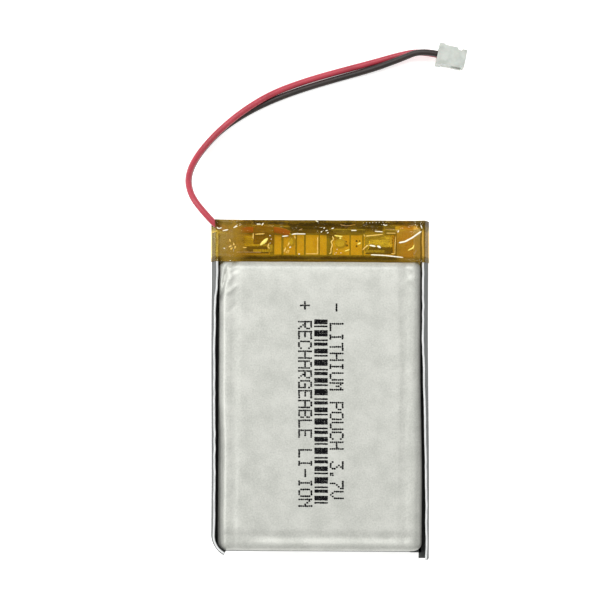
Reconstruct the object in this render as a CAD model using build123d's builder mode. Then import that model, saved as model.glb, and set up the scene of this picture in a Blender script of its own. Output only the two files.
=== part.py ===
"""Pouch battery cell of the 10 x 34 x 53 mm size, with its protection board and a two-way lead.

Millimetres. +Z is the thickness, up through the printed face. +Y runs along the cell to the tab end,
where the leads come out. The origin is under the middle of the cell, on the face that it lies on.
"""

import math
import os

from build123d import *

# ------------------------------------------------------------------------------ driving dimensions
thickness = 10.0  # over both drawn cups
cup_width = 31.6  # over the drawn part, without the folded side seals
cup_length = 45.5  # drawn part, from the folded end to the wall behind the terrace
film = 0.15  # aluminium laminate
cup_corner = 1.8  # seen from above
shoulder = 1.7  # rounding from a wall into a face

flap_reach = 1.15  # a side seal stands this far out from the cup's wall, where it turns up
flap_lean = 0.87  # its top edge leans back in by this much
flap_margin = 0.6  # its top edge stops this far under the printed face
flap_bend = 0.2  # inside radius of the turn
ear = 1.3  # the side seals run on past the folded end
fold_lip = 0.35  # the folded end's own ridge
ear_curl_radius = 4.2
ear_curl_angle = 50.0
lead_notch = 0.8  # the left seal stops this far short, where the leads pass

board_to_edge = 0.9  # the flat seal that the tabs pass through runs on this far past the board
end_space = 1.2  # from the edge of that seal to the end of the wrap

tab_width = 3.0
tab_thickness = 0.1
tab_bend = 0.15  # inside radius of its folds
tab_in_roll = 24.0
positive_tab_x = -9.0
negative_tab_x = 8.6
sealant_width = 6.5
sealant_film = 0.04
sealant_overhang = 0.5

core_gap = 0.35  # half of the slot in the middle of the roll
roll_face_gap = 0.28  # least space from the roll to the inside of the cups' faces
anode_thickness = 0.19
cathode_thickness = 0.17
separator_thickness = 0.04
layer_gap = 0.04
roll_side_gap = 0.45
separator_end_gap = 0.95  # to the inside of the cup's end walls
anode_margin = 0.6  # the electrodes are shorter than the separators by this at each end
cathode_margin = 1.0
roll_tape_width = 10.0
roll_tape_length = 30.0
roll_tape_thickness = 0.05

board_length = 25.4
board_width = 3.5
board_thickness = 0.6
board_x = -0.9
board_gap = 0.6  # from the cup's end wall to the board's edge
board_corner = 0.3
paper_thickness = 0.15
pad_thickness = 0.05
pad_margin = 0.2  # from the board's edges
strap_thickness = 0.15
strap_margin = 0.3

tape = 0.1  # two layers of polyimide tape
end_tape = 0.06
holding_tape = 0.05
wrap_sag = 1.2  # the wrap lies this far under the cell's faces, across the board
wrap_lap = 0.35  # the wrap's edge lies this far up the cup's shoulder
wrap_lip_space = 0.1  # its edge stands this far off the shoulder
wrap_step = 0.05  # its flat part starts this far behind the cup's wall
wrap_shelf = 2.9  # width of the slope from the side seals down to the board
wrap_rounding = 0.15
wrap_seal_space = 0.04  # from the wrap to the side seals
end_wrap_start = 0.3  # the inner tape starts this far behind the wrap's flat part
end_wrap_bend = 0.5
notch_reach = 1.0  # open corner of the wrap, where the leads pass
notch_depth = 1.4
notch_height = 2.5
holding_from = -10.5  # the strip of tape that keeps the red lead down
holding_to = -7.3
holding_on_board = 1.75  # its edge lies this far in from the board's edge
holding_bend = 0.12

wire = 1.0  # over the insulation
wire_core = 0.38
lead_to_board = 0.1  # the held leads lie this far beside the board
lead_depth = 0.13  # the black one's top is this far under the pads
lead_slack = 0.01  # between the red lead and the strip over it

chip_space = 0.2  # from a chip's underside to the paper
chip_standoff = 0.08
chip_draft = 4  # degrees
chip_chamfer = 0.08
lead_foot = 0.12
lead_slope = 0.1
capacitor_height = 0.8
resistor_height = 0.35

solder_height = 0.62
solder_slope = 24  # degrees
solder_rounding = 0.12

plug_length = 4.5
plug_height = 4.25  # over the two ways
plug_rear_width = 3.45
plug_waist_width = 3.1
plug_front_width = 2.85
plug_collar = 0.9
way_pitch = 1.25
way_width = 1.06
way_depth = 1.5
way_front_wall = 0.6
pin_hole = 0.66
wire_in_plug = 1.1
plug_rounding = 0.08
latch_depth = 0.25
latch_slope = 0.04  # shares of the plug's length, as are the next four
latch_from = 0.7
latch_to = 0.8
key_centre = 0.72
key_length = 0.35
key_width = 0.6
contact_box = 0.9
contact_wall = 0.12
contact_barrel = 0.9
barrel_rounding = 0.3

clearance = 0.02

# ------------------------------------------------------------------------------ the leads' routes
# Free stretches, from the corner of the wrap to the plug: x, distance past the wrap, height, and the
# share of the held leads' height that the point follows if that changes. The red lead starts on top of
# the black one, comes down beside it, and ends under it. Both lie on what the cell lies on.
red_free = [
    (-17.2, 0.0, 7.9, 1.0),
    (-18.9, 1.8, 7.78, 1.0),
    (-20.45, 4.05, 6.75, 0.8),
    (-21.0, 6.5, 5.0, 0.5),
    (-20.4, 9.0, 3.1, 0.15),
    (-18.8, 11.6, 1.95, 0.0),
    (-16.1, 14.6, 1.6, 0.0),
    (-12.3, 17.8, 1.52, 0.0),
    (-7.8, 20.6, 0.97, 0.0),
    (-2.6, 22.6, 0.54, 0.0),
    (2.9, 24.2, 0.52, 0.0),
    (8.2, 25.6, 0.54, 0.0),
    (12.6, 26.85, 0.95, 0.0),
    (15.85, 27.4, 1.5, 0.0),
    (18.5, 26.85, 1.5, 0.0),
]
black_free = [
    (-17.2, 0.0, 6.84, 1.0),
    (-18.9, 1.8, 6.72, 1.0),
    (-20.45, 4.05, 5.53, 0.8),
    (-21.0, 6.5, 3.66, 0.5),
    (-20.4, 9.0, 1.77, 0.15),
    (-18.8, 11.6, 0.79, 0.0),
    (-16.1, 14.6, 0.54, 0.0),
    (-12.0, 17.45, 0.52, 0.0),
    (-7.27, 19.75, 0.52, 0.0),
    (-2.21, 21.58, 0.53, 0.0),
    (3.2, 23.17, 0.52, 0.0),
    (8.45, 24.62, 0.89, 0.0),
    (12.75, 26.15, 1.8, 0.0),
    (15.85, 27.4, 2.75, 0.0),
    (18.5, 26.85, 2.75, 0.0),
]
drawn_red_line = 8.04  # height of the held red lead that the heights above go with
# Held stretches, from the solder joints on the board to the same corner: x, then steps in Y and Z from
# the line that each lead keeps beside the board.
red_held = [
    (-4.85, -0.7, 0.0),
    (-6.3, 0.0, 0.0),
    (-9.4, -0.08, 0.0),
    (-12.6, -0.06, 0.0),
    (-14.69, 0.0, -0.01),
    (-15.66, 0.26, -0.03),
    (-16.51, 0.77, -0.08),
]
black_held = [
    (2.3, -0.9, 1.24),
    (1.0, -0.1, 1.08),
    (-1.2, 0.0, 0.28),
    (-3.6, 0.02, 0.0),
    (-8.4, 0.0, 0.0),
    (-12.8, 0.02, 0.03),
    (-14.69, 0.0, 0.14),
    (-15.66, 0.26, 0.23),
    (-16.51, 0.77, 0.27),
]
# Bare cores, as steps from the end of the insulation down onto the pads.
red_core = [(0.306, -0.148, 0.0), (0.45, -0.6, -0.52), (0.25, -1.7, -0.54)]
black_core = [(0.42, -0.26, 0.02), (0.7, -0.65, -0.37), (1.0, -1.7, -0.38)]
solder_spots = {"red": (0.55, 0.8), "black": (0.95, 0.85)}  # half widths along X and Y

# From and to along the board, for the gold pads: two under the straps, the others bare or for the leads.
pad_spans = (
    (-13.2, -7.9),
    (-7.2, -6.1),
    (-5.75, -3.9),
    (-3.65, -2.55),
    (-2.25, -0.25),
    (-0.05, 1.0),
    (1.95, 4.6),
    (4.8, 6.6),
    (6.85, 11.6),
)

# ------------------------------------------------------------------------------ places worked out
mid = thickness / 2
terrace = board_gap + board_width + board_to_edge
overall_length = ear + cup_length + terrace + end_space
folded_end = ear - overall_length / 2
wall_y = folded_end + cup_length
cup_centre = (0, (folded_end + wall_y) / 2)
terrace_edge = wall_y + terrace
wrap_end = terrace_edge + end_space
cup_half = cup_width / 2
flap_x = cup_half + flap_reach
flap_top_x = flap_x - flap_lean
flap_top = thickness - flap_margin
film_top = mid + film
ear_end = folded_end - ear

pitch = anode_thickness + cathode_thickness + 2 * separator_thickness + 4 * layer_gap
# Thick layers, in place of about twice as many turns of thinner ones.
turns = int((mid - film - roll_face_gap - core_gap) / pitch)
roll_half_height = core_gap + turns * pitch
roll_straight = cup_width - 2 * film - 2 * roll_side_gap - 2 * roll_half_height
separator_length = cup_length - 2 * film - 2 * separator_end_gap
roll_start = folded_end + film + separator_end_gap
roll_end = roll_start + separator_length

sealant_height = tab_thickness + 2 * sealant_film
board_near = wall_y + board_gap
board_far = board_near + board_width
board_y = (board_near + board_far) / 2
tab_landing = board_near + 2 * strap_margin

wrap_front = thickness - wrap_sag
wrap_start = wall_y - wrap_lap
wrap_flat_start = wall_y + wrap_step
shoulder_rise = math.sqrt(shoulder**2 - (shoulder - wrap_lap) ** 2)
wrap_lip = thickness - shoulder + shoulder_rise + wrap_lip_space + tape
crest = (flap_top_x + film + wrap_seal_space + tape, flap_top + film / 2 + clearance + tape)
wrap_side_x = flap_x + film + wrap_seal_space + tape
end_wrap_front = wrap_front - tape - clearance
end_wrap_half = cup_half - cup_corner / 2 - 3 * tape

# Under the wrap from the top down: the strip, the red lead, a tab, a strap, a pad and the board.
holding_top = end_wrap_front - end_tape - clearance
red_line_z = holding_top - holding_tape - lead_slack - wire / 2
strap_top = red_line_z - wire / 2 - clearance - tab_thickness
pad_top = strap_top - strap_thickness
board_top = pad_top - pad_thickness
board_bottom = board_top - board_thickness
chip_room = board_bottom - film_top - paper_thickness - chip_space
lead_line_y = board_far + lead_to_board + wire / 2
black_line_z = pad_top - lead_depth - wire / 2

line_change = red_line_z - drawn_red_line
red_route = [(x, wrap_end + past, z + share * line_change) for x, past, z, share in red_free]
black_route = [(x, wrap_end + past, z + share * line_change) for x, past, z, share in black_free]
red_held_route = [(x, lead_line_y + step_y, red_line_z + step_z) for x, step_y, step_z in red_held]
red_held_route.append(red_route[0])
black_held_route = [(x, lead_line_y + step_y, black_line_z + step_z) for x, step_y, step_z in black_held]
black_held_route.append(black_route[0])
red_core_route = [red_held_route[0]]
red_core_route += [tuple(Vector(*red_held_route[0]) + Vector(*step)) for step in red_core]
black_core_route = [black_held_route[0]]
black_core_route += [tuple(Vector(*black_held_route[0]) + Vector(*step)) for step in black_core]

plug_rear = Vector(*red_route[-1]) + Vector(0, 0, way_pitch / 2)
plug_axis = (Vector(*red_route[-1]) - Vector(*red_route[-2])).normalized()
plug_plane = Plane(origin=plug_rear, x_dir=plug_axis, z_dir=(0, 0, 1))


def bend_radii(points: list) -> list:
    """Radius for each inner corner of a lead's route, as large as its two runs allow."""
    corners = [Vector(*point) for point in points]
    radii = []
    for before, corner, after in zip(corners, corners[1:], corners[2:]):
        turn = (corner - before).get_angle(after - corner)
        shorter = min((corner - before).length, (after - corner).length)
        radii.append(0.45 * shorter / math.tan(math.radians(turn / 2)))
    return radii


def section_plane(y: float) -> Plane:
    """A plane across the cell at y, with its own x along X and its own y along Z."""
    return Plane(origin=(0, y, 0), x_dir=(1, 0, 0), z_dir=(0, -1, 0))


def side_plane(x: float) -> Plane:
    """A plane along the cell at x, with its own x along Y and its own y along Z."""
    return Plane(origin=(x, 0, 0), x_dir=(0, 1, 0), z_dir=(1, 0, 0))


def save(part: Part, name: str) -> None:
    """Label a finished piece and write its STEP file."""
    part.label = name
    export_step(part, f"parts/{name}.step")


def wrap_corners(face_drop: float) -> list:
    """Corners of the wrap's outline across the cell; face_drop is how far its flats lie under the faces."""
    shelf_x = crest[0] - wrap_shelf
    right = [
        (shelf_x, thickness - face_drop),
        crest,
        (wrap_side_x, mid - film),
        (cup_half - cup_corner / 2, face_drop),
    ]
    left = [(-x, z) for x, z in reversed(right)]
    return right + left


# ------------------------------------------------------------------------------ pouch
os.makedirs("parts", exist_ok=True)

curl_start = ear_end + ear_curl_radius * math.sin(math.radians(ear_curl_angle))
seal_runs = ((1, terrace_edge, ear_end), (-1, terrace_edge - lead_notch, curl_start))

for name, side in (("pouch_front_cup", 1), ("pouch_back_cup", -1)):
    with BuildPart() as hollow:
        with BuildSketch(Plane.XY.offset(mid)):
            with Locations(cup_centre):
                RectangleRounded(cup_width - 2 * film, cup_length - 2 * film, cup_corner - film)
        extrude(amount=side * (mid - film))
        deepest = hollow.faces().sort_by(Axis.Z)[-1 if side > 0 else 0]
        fillet(deepest.edges(), shoulder - film)

    with BuildPart() as cup:
        with BuildSketch(Plane.XY.offset(mid)):
            with Locations(cup_centre):
                RectangleRounded(cup_width, cup_length, cup_corner)
        extrude(amount=side * mid)
        deepest = cup.faces().sort_by(Axis.Z)[-1 if side > 0 else 0]
        fillet(deepest.edges(), shoulder)
        # The flat seal all round, half of its thickness in each cup.
        with BuildSketch(Plane.XY.offset(mid)):
            with Locations((0, (folded_end - fold_lip + terrace_edge) / 2)):
                Rectangle(2 * cup_half + flap_bend, terrace_edge - folded_end + fold_lip)
        extrude(amount=side * film)
        # The side seals, turned up beside the cup. The front cup's film is the inner one.
        for hand, near, far in seal_runs:
            with BuildSketch(section_plane(near)):
                with BuildLine():
                    FilletPolyline(
                        (hand * cup_half, mid),
                        (hand * flap_x, mid),
                        (hand * flap_top_x, flap_top),
                        radius=flap_bend + film,
                    )
                    offset(amount=film, side=Side.LEFT if hand == side else Side.RIGHT)
                make_face()
            extrude(amount=near - far)
        # The left seal's free end curls in under the folded end.
        curl_face = cup.faces().filter_by(Axis.Y).group_by(Axis.X)[0].sort_by(Axis.Y)[0]
        revolve(
            curl_face,
            axis=Axis((ear_curl_radius - flap_x, curl_start, 0), (0, 0, 1)),
            revolution_arc=ear_curl_angle,
        )
        add(hollow.part, mode=Mode.SUBTRACT)
        # Room for the tabs' sealant strips between the two films.
        for tab_x in (positive_tab_x, negative_tab_x):
            with BuildSketch(Plane.XY.offset(mid)):
                with Locations((tab_x, wall_y + terrace / 2)):
                    Rectangle(sealant_width, terrace + 2 * film + 2 * clearance)
            extrude(amount=side * sealant_height / 2, mode=Mode.SUBTRACT)
    save(cup.part, name)

# ------------------------------------------------------------------------------ roll
# Each sheet starts in the middle on the upper side, and ends on the lower side of the last turn.
electrode_start = core_gap + separator_thickness + layer_gap
outer_separator_start = electrode_start + anode_thickness + layer_gap
cathode_start = outer_separator_start + separator_thickness + layer_gap
sheets = (
    ("inner_separator", core_gap, separator_thickness, 0.0),
    ("negative_electrode", electrode_start, anode_thickness, anode_margin),
    ("outer_separator", outer_separator_start, separator_thickness, 0.0),
    ("positive_electrode", cathode_start, cathode_thickness, cathode_margin),
)
for name, start, sheet_thickness, end_margin in sheets:
    with BuildPart() as sheet:
        with BuildSketch(section_plane(roll_end - end_margin)):
            with BuildLine():
                for radius in (start, start + sheet_thickness):
                    for turn in range(turns):
                        reach = radius + turn * pitch
                        right = (roll_straight / 2, mid)
                        left = (-roll_straight / 2, mid + pitch / 2)
                        Line((left[0], mid + reach), (right[0], mid + reach))
                        CenterArc(right, reach, 90, -180)
                        Line((right[0], mid - reach), (left[0], mid - reach))
                        if turn < turns - 1:
                            CenterArc(left, reach + pitch / 2, 270, -180)
                for height in (mid + start, mid - start - (turns - 1) * pitch):
                    outward = sheet_thickness if height > mid else -sheet_thickness
                    Line((-roll_straight / 2, height), (-roll_straight / 2, height + outward))
            make_face()
        extrude(amount=separator_length - 2 * end_margin)
    save(sheet.part, name)

with BuildPart() as roll_tape:
    with BuildSketch(Plane.XY.offset(mid - roll_half_height + layer_gap - clearance)):
        with Locations(((roll_tape_width - roll_straight) / 2 - roll_tape_width / 3, cup_centre[1])):
            Rectangle(roll_tape_width, roll_tape_length)
    extrude(amount=-roll_tape_thickness)
save(roll_tape.part, "roll_end_tape")

# ------------------------------------------------------------------------------ tabs
tab_metal = {"positive": positive_tab_x, "negative": negative_tab_x}
for pole, tab_x in tab_metal.items():
    riser_y = terrace_edge + tab_bend
    with BuildPart() as tab:
        with BuildSketch(side_plane(tab_x - tab_width / 2)):
            with BuildLine():
                FilletPolyline(
                    (roll_end - tab_in_roll, mid - tab_thickness / 2),
                    (riser_y + tab_bend + tab_thickness, mid - tab_thickness / 2),
                    (riser_y + tab_bend + tab_thickness, strap_top + tab_thickness),
                    (tab_landing, strap_top + tab_thickness),
                    radius=tab_bend + tab_thickness,
                )
                offset(amount=tab_thickness, side=Side.LEFT)
            make_face()
        extrude(amount=tab_width)
    save(tab.part, f"{pole}_tab")

    with BuildPart() as sealant:
        with BuildSketch(Plane.XY.offset(mid - sealant_height / 2)):
            with Locations((tab_x, wall_y + (terrace + sealant_overhang - film) / 2)):
                Rectangle(sealant_width, terrace + sealant_overhang + film)
        extrude(amount=sealant_height)
        with BuildSketch(Plane.XY.offset(mid - tab_thickness / 2)):
            with Locations((tab_x, wall_y + terrace / 2)):
                Rectangle(tab_width, 2 * terrace)
        extrude(amount=tab_thickness, mode=Mode.SUBTRACT)
        # The strips stop where the tab turns up.
        with BuildSketch(Plane.XY.offset(mid - sealant_height)):
            with Locations((tab_x, riser_y + sealant_overhang)):
                Rectangle(tab_width + 2 * clearance, 2 * sealant_overhang)
        extrude(amount=2 * sealant_height, mode=Mode.SUBTRACT)
    save(sealant.part, f"{pole}_tab_sealant")

# ------------------------------------------------------------------------------ board
with BuildPart() as terrace_paper:
    with BuildSketch(Plane.XY.offset(film_top)):
        with Locations((board_x, wall_y + terrace / 2)):
            Rectangle(board_length + 2 * strap_margin, terrace - 2 * pad_margin)
    extrude(amount=paper_thickness)
save(terrace_paper.part, "terrace_paper")

with BuildPart() as board:
    with BuildSketch(Plane.XY.offset(board_bottom)):
        with Locations((board_x, board_y)):
            RectangleRounded(board_length, board_width, board_corner)
    extrude(amount=board_thickness)
save(board.part, "circuit_board")

with BuildPart() as board_pads:
    with BuildSketch(Plane.XY.offset(board_top)):
        for near_x, far_x in pad_spans:
            with Locations(((near_x + far_x) / 2, board_y)):
                Rectangle(far_x - near_x, board_width - 2 * pad_margin)
    extrude(amount=pad_thickness)
save(board_pads.part, "board_pads")

for name, (near_x, far_x) in (("positive_strap", pad_spans[0]), ("negative_strap", pad_spans[-1])):
    with BuildPart() as strap:
        with BuildSketch(Plane.XY.offset(pad_top)):
            with Locations(((near_x + far_x) / 2, board_y)):
                RectangleRounded(
                    far_x - near_x - strap_margin,
                    board_width - pad_margin - strap_margin,
                    board_corner / 2,
                )
        extrude(amount=strap_thickness)
    save(strap.part, name)

# Chips hang under the board. Body size, where it is along the board, its leads' count on each side,
# their spacing, and the span over the leads.
chips = (
    ("protection_ic", "protection_ic_leads", -3.6, (1.6, 2.9), chip_room, 3, 0.95, 0.4, 2.8),
    ("mosfet_pair", "mosfet_leads", 2.6, (4.4, 3.0), chip_room - 0.1, 4, 0.65, 0.25, 6.2),
)
for name, leads_name, chip_x, (body_x, body_y), body_height, count, spacing, lead_width, span in chips:
    with BuildPart() as chip:
        with BuildSketch(Plane.XY.offset(board_bottom - chip_standoff)):
            with Locations((chip_x, board_y)):
                Rectangle(body_x, body_y)
        extrude(amount=-body_height, taper=chip_draft)
        chamfer(chip.faces().sort_by(Axis.Z)[0].edges(), chip_chamfer)
    save(chip.part, name)

    knee = (span + body_x) / 4
    with BuildPart() as leads:
        for hand in (-1, 1):
            with BuildSketch(section_plane(board_y + lead_width / 2)):
                with BuildLine():
                    Polyline(
                        (chip_x + hand * span / 2, board_bottom),
                        (chip_x + hand * knee, board_bottom),
                        (chip_x + hand * (knee - lead_slope), board_bottom - body_height / 2),
                        (chip_x + hand * body_x / 2, board_bottom - body_height / 2),
                        (chip_x + hand * body_x / 2, board_bottom - body_height / 2 - lead_foot),
                        (chip_x + hand * knee, board_bottom - body_height / 2 - lead_foot),
                        (chip_x + hand * (knee + lead_slope), board_bottom - lead_foot),
                        (chip_x + hand * span / 2, board_bottom - lead_foot),
                        close=True,
                    )
                make_face()
            one = extrude(amount=lead_width, mode=Mode.PRIVATE)
            with GridLocations(1, spacing, 1, count):
                add(one)
    save(leads.part, leads_name)

# Small parts: a body between two plated ends.
small_parts = (
    ("chip_resistors", "resistor_terminals", (-7.6, -9.6), (1.0, 0.5), resistor_height),
    ("chip_capacitor", "capacitor_terminals", (8.0,), (1.6, 0.8), capacitor_height),
)
for name, terminals_name, places, (length, width), full_height in small_parts:
    height = min(full_height, chip_room)
    plated = length / 5
    spots = [(x, board_y) for x in places]
    with BuildPart() as body:
        with BuildSketch(Plane.XY.offset(board_bottom - clearance)):
            with Locations(*spots):
                Rectangle(length - 2 * plated, width)
        extrude(amount=clearance - height)
    save(body.part, name)
    with BuildPart() as terminals:
        with BuildSketch(Plane.XY.offset(board_bottom)):
            for x, y in spots:
                with Locations((x - (length - plated) / 2, y), (x + (length - plated) / 2, y)):
                    Rectangle(plated, width + clearance)
        extrude(amount=-height - clearance)
        chamfer(terminals.faces().sort_by(Axis.Z)[0].edges(), plated / 5)
    save(terminals.part, terminals_name)

# ------------------------------------------------------------------------------ leads
lead_tubes = (
    ("red_lead", red_route, wire),
    ("black_lead", black_route, wire),
    ("red_lead_held", red_held_route, wire),
    ("black_lead_held", black_held_route, wire),
    ("red_lead_core", red_core_route, wire_core),
    ("black_lead_core", black_core_route, wire_core),
)
tube_parts = {}
for name, route, size in lead_tubes:
    radii = bend_radii(route)
    with BuildPart() as tube:
        with BuildLine() as path:
            FilletPolyline(*route, radius=radii)
        with BuildSketch(Plane(origin=path.line @ 0, z_dir=path.line % 0)):
            Circle(size / 2)
        sweep()
    tube_parts[name] = tube.part
    save(tube.part, name)
    run_length = path.wires()[0].length
    whole = math.pi * size**2 / 4 * run_length
    print(f"{name}: length {run_length:.2f}, tightest radius {min(radii):.2f}")
    print(f"  radii {[round(radius, 2) for radius in radii]}")
    print(f"  volume {tube.part.volume:.3f}, section times length {whole:.3f}")

for pole, route in (("red", red_core_route), ("black", black_core_route)):
    tip = Vector(*route[-1])
    root = Vector(*route[-2])
    with BuildPart() as solder:
        with BuildSketch(Plane.XY.offset(pad_top)):
            with Locations(((tip.X + root.X) / 2, (tip.Y + root.Y) / 2)):
                Ellipse(*solder_spots[pole])
        extrude(amount=solder_height, taper=solder_slope)
        fillet(solder.faces().sort_by(Axis.Z)[-1].edges(), solder_rounding)
        add(tube_parts[f"{pole}_lead_core"], mode=Mode.SUBTRACT)
    save(solder.part, f"{pole}_solder")

# ------------------------------------------------------------------------------ tapes
strip_low = strap_top + tab_thickness + clearance
with BuildPart() as holding:
    with BuildSketch(side_plane(holding_from)):
        with BuildLine():
            FilletPolyline(
                (board_far - holding_on_board, strip_low),
                (lead_line_y - wire, strip_low),
                (lead_line_y - wire / 2, holding_top - holding_tape),
                (lead_line_y + wire / 2, holding_top - holding_tape),
                (lead_line_y + 0.9 * wire, red_line_z - 0.7 * wire),
                radius=holding_bend,
            )
            offset(amount=holding_tape, side=Side.LEFT)
        make_face()
    extrude(amount=holding_to - holding_from)
save(holding.part, "wire_holding_tape")

with BuildPart() as end_wrap:
    with BuildSketch(side_plane(-end_wrap_half)):
        with BuildLine():
            FilletPolyline(
                (wrap_flat_start + end_wrap_start, end_wrap_front),
                (wrap_end, end_wrap_front),
                (wrap_end, thickness - end_wrap_front),
                (wrap_flat_start + end_wrap_start, thickness - end_wrap_front),
                radius=end_wrap_bend,
            )
            offset(amount=end_tape, side=Side.RIGHT)
        make_face()
    extrude(amount=2 * end_wrap_half)
save(end_wrap.part, "polyimide_end_wrap")

with BuildPart() as wrap:
    with BuildSketch(section_plane(wrap_end)):
        with BuildLine():
            FilletPolyline(*wrap_corners(wrap_sag), radius=wrap_rounding, close=True)
        make_face()
        offset(amount=-tape, mode=Mode.SUBTRACT)
    extrude(amount=wrap_end - wrap_flat_start)
    # The lip climbs from the step behind the cup's wall onto its shoulder.
    for inset, mode in ((0.0, Mode.ADD), (tape, Mode.SUBTRACT)):
        with BuildPart(mode=Mode.PRIVATE) as lip:
            for y, drop in ((wrap_flat_start, wrap_sag), (wrap_start, thickness - wrap_lip)):
                with BuildSketch(section_plane(y)):
                    with BuildLine():
                        FilletPolyline(*wrap_corners(drop), radius=wrap_rounding, close=True)
                    make_face()
                    if inset:
                        offset(amount=-inset, mode=Mode.REPLACE)
            loft(ruled=True)
        add(lip.part, mode=mode)
    # The corner where the leads come out.
    with Locations((-wrap_side_x, wrap_end, (red_route[0][2] + black_route[0][2]) / 2)):
        Box(2 * notch_reach, 2 * notch_depth, notch_height, mode=Mode.SUBTRACT)
save(wrap.part, "polyimide_wrap")

# ------------------------------------------------------------------------------ plug
with BuildPart() as housing:
    with BuildSketch(plug_plane.offset(-plug_height / 2)):
        with BuildLine():
            Polyline(
                (0, -plug_rear_width / 2),
                (plug_collar, -plug_rear_width / 2),
                (plug_collar, -plug_waist_width / 2),
                (plug_length, -plug_front_width / 2),
                (plug_length, plug_front_width / 2),
                ((latch_to + latch_slope) * plug_length, plug_front_width / 2),
                (latch_to * plug_length, plug_front_width / 2 - latch_depth),
                (latch_from * plug_length, plug_front_width / 2 - latch_depth),
                ((latch_from - latch_slope) * plug_length, plug_waist_width / 2),
                (plug_collar, plug_waist_width / 2),
                (plug_collar, plug_rear_width / 2),
                (0, plug_rear_width / 2),
                close=True,
            )
        make_face()
    extrude(amount=plug_height)
    fillet(housing.edges().filter_by(Axis.Z), plug_rounding)
    # Key rib along the lower side, near the mating end.
    with BuildSketch(plug_plane.offset(-plug_height / 6)):
        with Locations((key_centre * plug_length, -plug_front_width / 2)):
            Rectangle(key_length * plug_length, key_width)
    extrude(amount=plug_height / 3)
    # Ways for the two contacts, each with its pin hole in the front wall.
    for way in (-way_pitch / 2, way_pitch / 2):
        with BuildSketch(plug_plane.offset(way - way_width / 2)):
            with Locations(((plug_length - way_front_wall) / 2, 0)):
                Rectangle(plug_length - way_front_wall, way_depth)
        extrude(amount=way_width, mode=Mode.SUBTRACT)
        with BuildSketch(plug_plane.offset(way - pin_hole / 2)):
            with Locations((plug_length, 0)):
                Rectangle(3 * way_front_wall, pin_hole)
        extrude(amount=pin_hole, mode=Mode.SUBTRACT)
save(housing.part, "plug_housing")

box_start = wire_in_plug + contact_barrel
box_length = plug_length - way_front_wall - box_start
for name, way in (("red_contact", -way_pitch / 2), ("black_contact", way_pitch / 2)):
    with BuildPart() as contact:
        # The barrel, crimped solid round the lead's core, and the box that takes the pin.
        with BuildSketch(plug_plane.offset(way - contact_box / 2)):
            with Locations((box_start + box_length / 2, 0)):
                Rectangle(box_length, contact_box)
        extrude(amount=contact_box)
        front = contact.faces().sort_by(Axis((0, 0, 0), plug_axis))[-1]
        with BuildSketch(Plane(front.center(), z_dir=plug_axis)):
            Rectangle(contact_box - 2 * contact_wall, contact_box - 2 * contact_wall)
        extrude(amount=contact_wall - box_length, mode=Mode.SUBTRACT)
        entry = plug_rear + plug_axis * wire_in_plug + Vector(0, 0, way)
        with BuildSketch(Plane(entry, z_dir=plug_axis)):
            RectangleRounded(
                contact_box - contact_wall, contact_box - 2 * contact_wall, barrel_rounding
            )
        extrude(amount=contact_barrel)
    save(contact.part, name)
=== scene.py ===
"""Looks of the pouch battery cell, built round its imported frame.

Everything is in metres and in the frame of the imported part: +Z is the cell's thickness, up through the
printed face, and +Y runs along the cell to the taped end. Sizes inside the classes are in millimetres,
as a maker would give them, and each mesh is brought to metres when it is made.
"""

from __future__ import annotations

import logging
import math
import random
from dataclasses import dataclass, field
from enum import Enum
from typing import Iterable, Sequence

import bmesh
import bpy
from mathutils import Matrix, Vector, noise


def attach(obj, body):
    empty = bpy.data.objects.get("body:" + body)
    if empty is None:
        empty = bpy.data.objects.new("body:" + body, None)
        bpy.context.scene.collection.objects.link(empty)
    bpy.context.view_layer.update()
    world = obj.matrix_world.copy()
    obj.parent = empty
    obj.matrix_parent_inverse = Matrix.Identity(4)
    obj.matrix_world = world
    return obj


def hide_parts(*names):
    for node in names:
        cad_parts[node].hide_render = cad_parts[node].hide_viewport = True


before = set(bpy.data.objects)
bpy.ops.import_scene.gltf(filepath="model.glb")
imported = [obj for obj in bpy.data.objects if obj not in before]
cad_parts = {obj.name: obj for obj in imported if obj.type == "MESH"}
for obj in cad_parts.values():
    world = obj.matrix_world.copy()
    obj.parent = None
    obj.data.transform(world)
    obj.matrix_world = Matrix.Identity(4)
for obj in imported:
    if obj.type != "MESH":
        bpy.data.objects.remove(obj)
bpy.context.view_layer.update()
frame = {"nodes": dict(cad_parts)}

log = logging.getLogger("pouch_cell")
MM = 0.001
ROOT = "root"
RAY_HEIGHT = 14.0  # millimetres, above everything that a ray looks down on
THICKNESS = 10.0  # millimetres, of the whole cell
SEAL_FOIL = 0.3  # millimetres, two foils welded

Colour = tuple[float, float, float, float]
Point = tuple[float, float, float]


class Side(Enum):
    """Which half of the pouch a piece belongs to, as the sign of its outward Z."""

    FRONT = 1
    BACK = -1


class Hand(Enum):
    """Left or right as the printed face is seen with the taped end up, as the sign of X."""

    LEFT = -1
    RIGHT = 1


# ------------------------------------------------------------------------------------ small helpers
def smoothstep(low: float, high: float, value: float) -> float:
    """Return a soft step from 0 to 1 as value goes from low to high.

    Args:
        low: Where the step starts.
        high: Where the step ends; it may be less than low.
        value: The place on the step.

    Returns:
        A number from 0 to 1.
    """
    share = min(max((value - low) / (high - low), 0.0), 1.0)
    return share * share * (3 - 2 * share)


def bell(distance: float, width: float) -> float:
    """Return a bell curve's height at a distance from its middle."""
    return math.exp(-((distance / width) ** 2))


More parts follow.
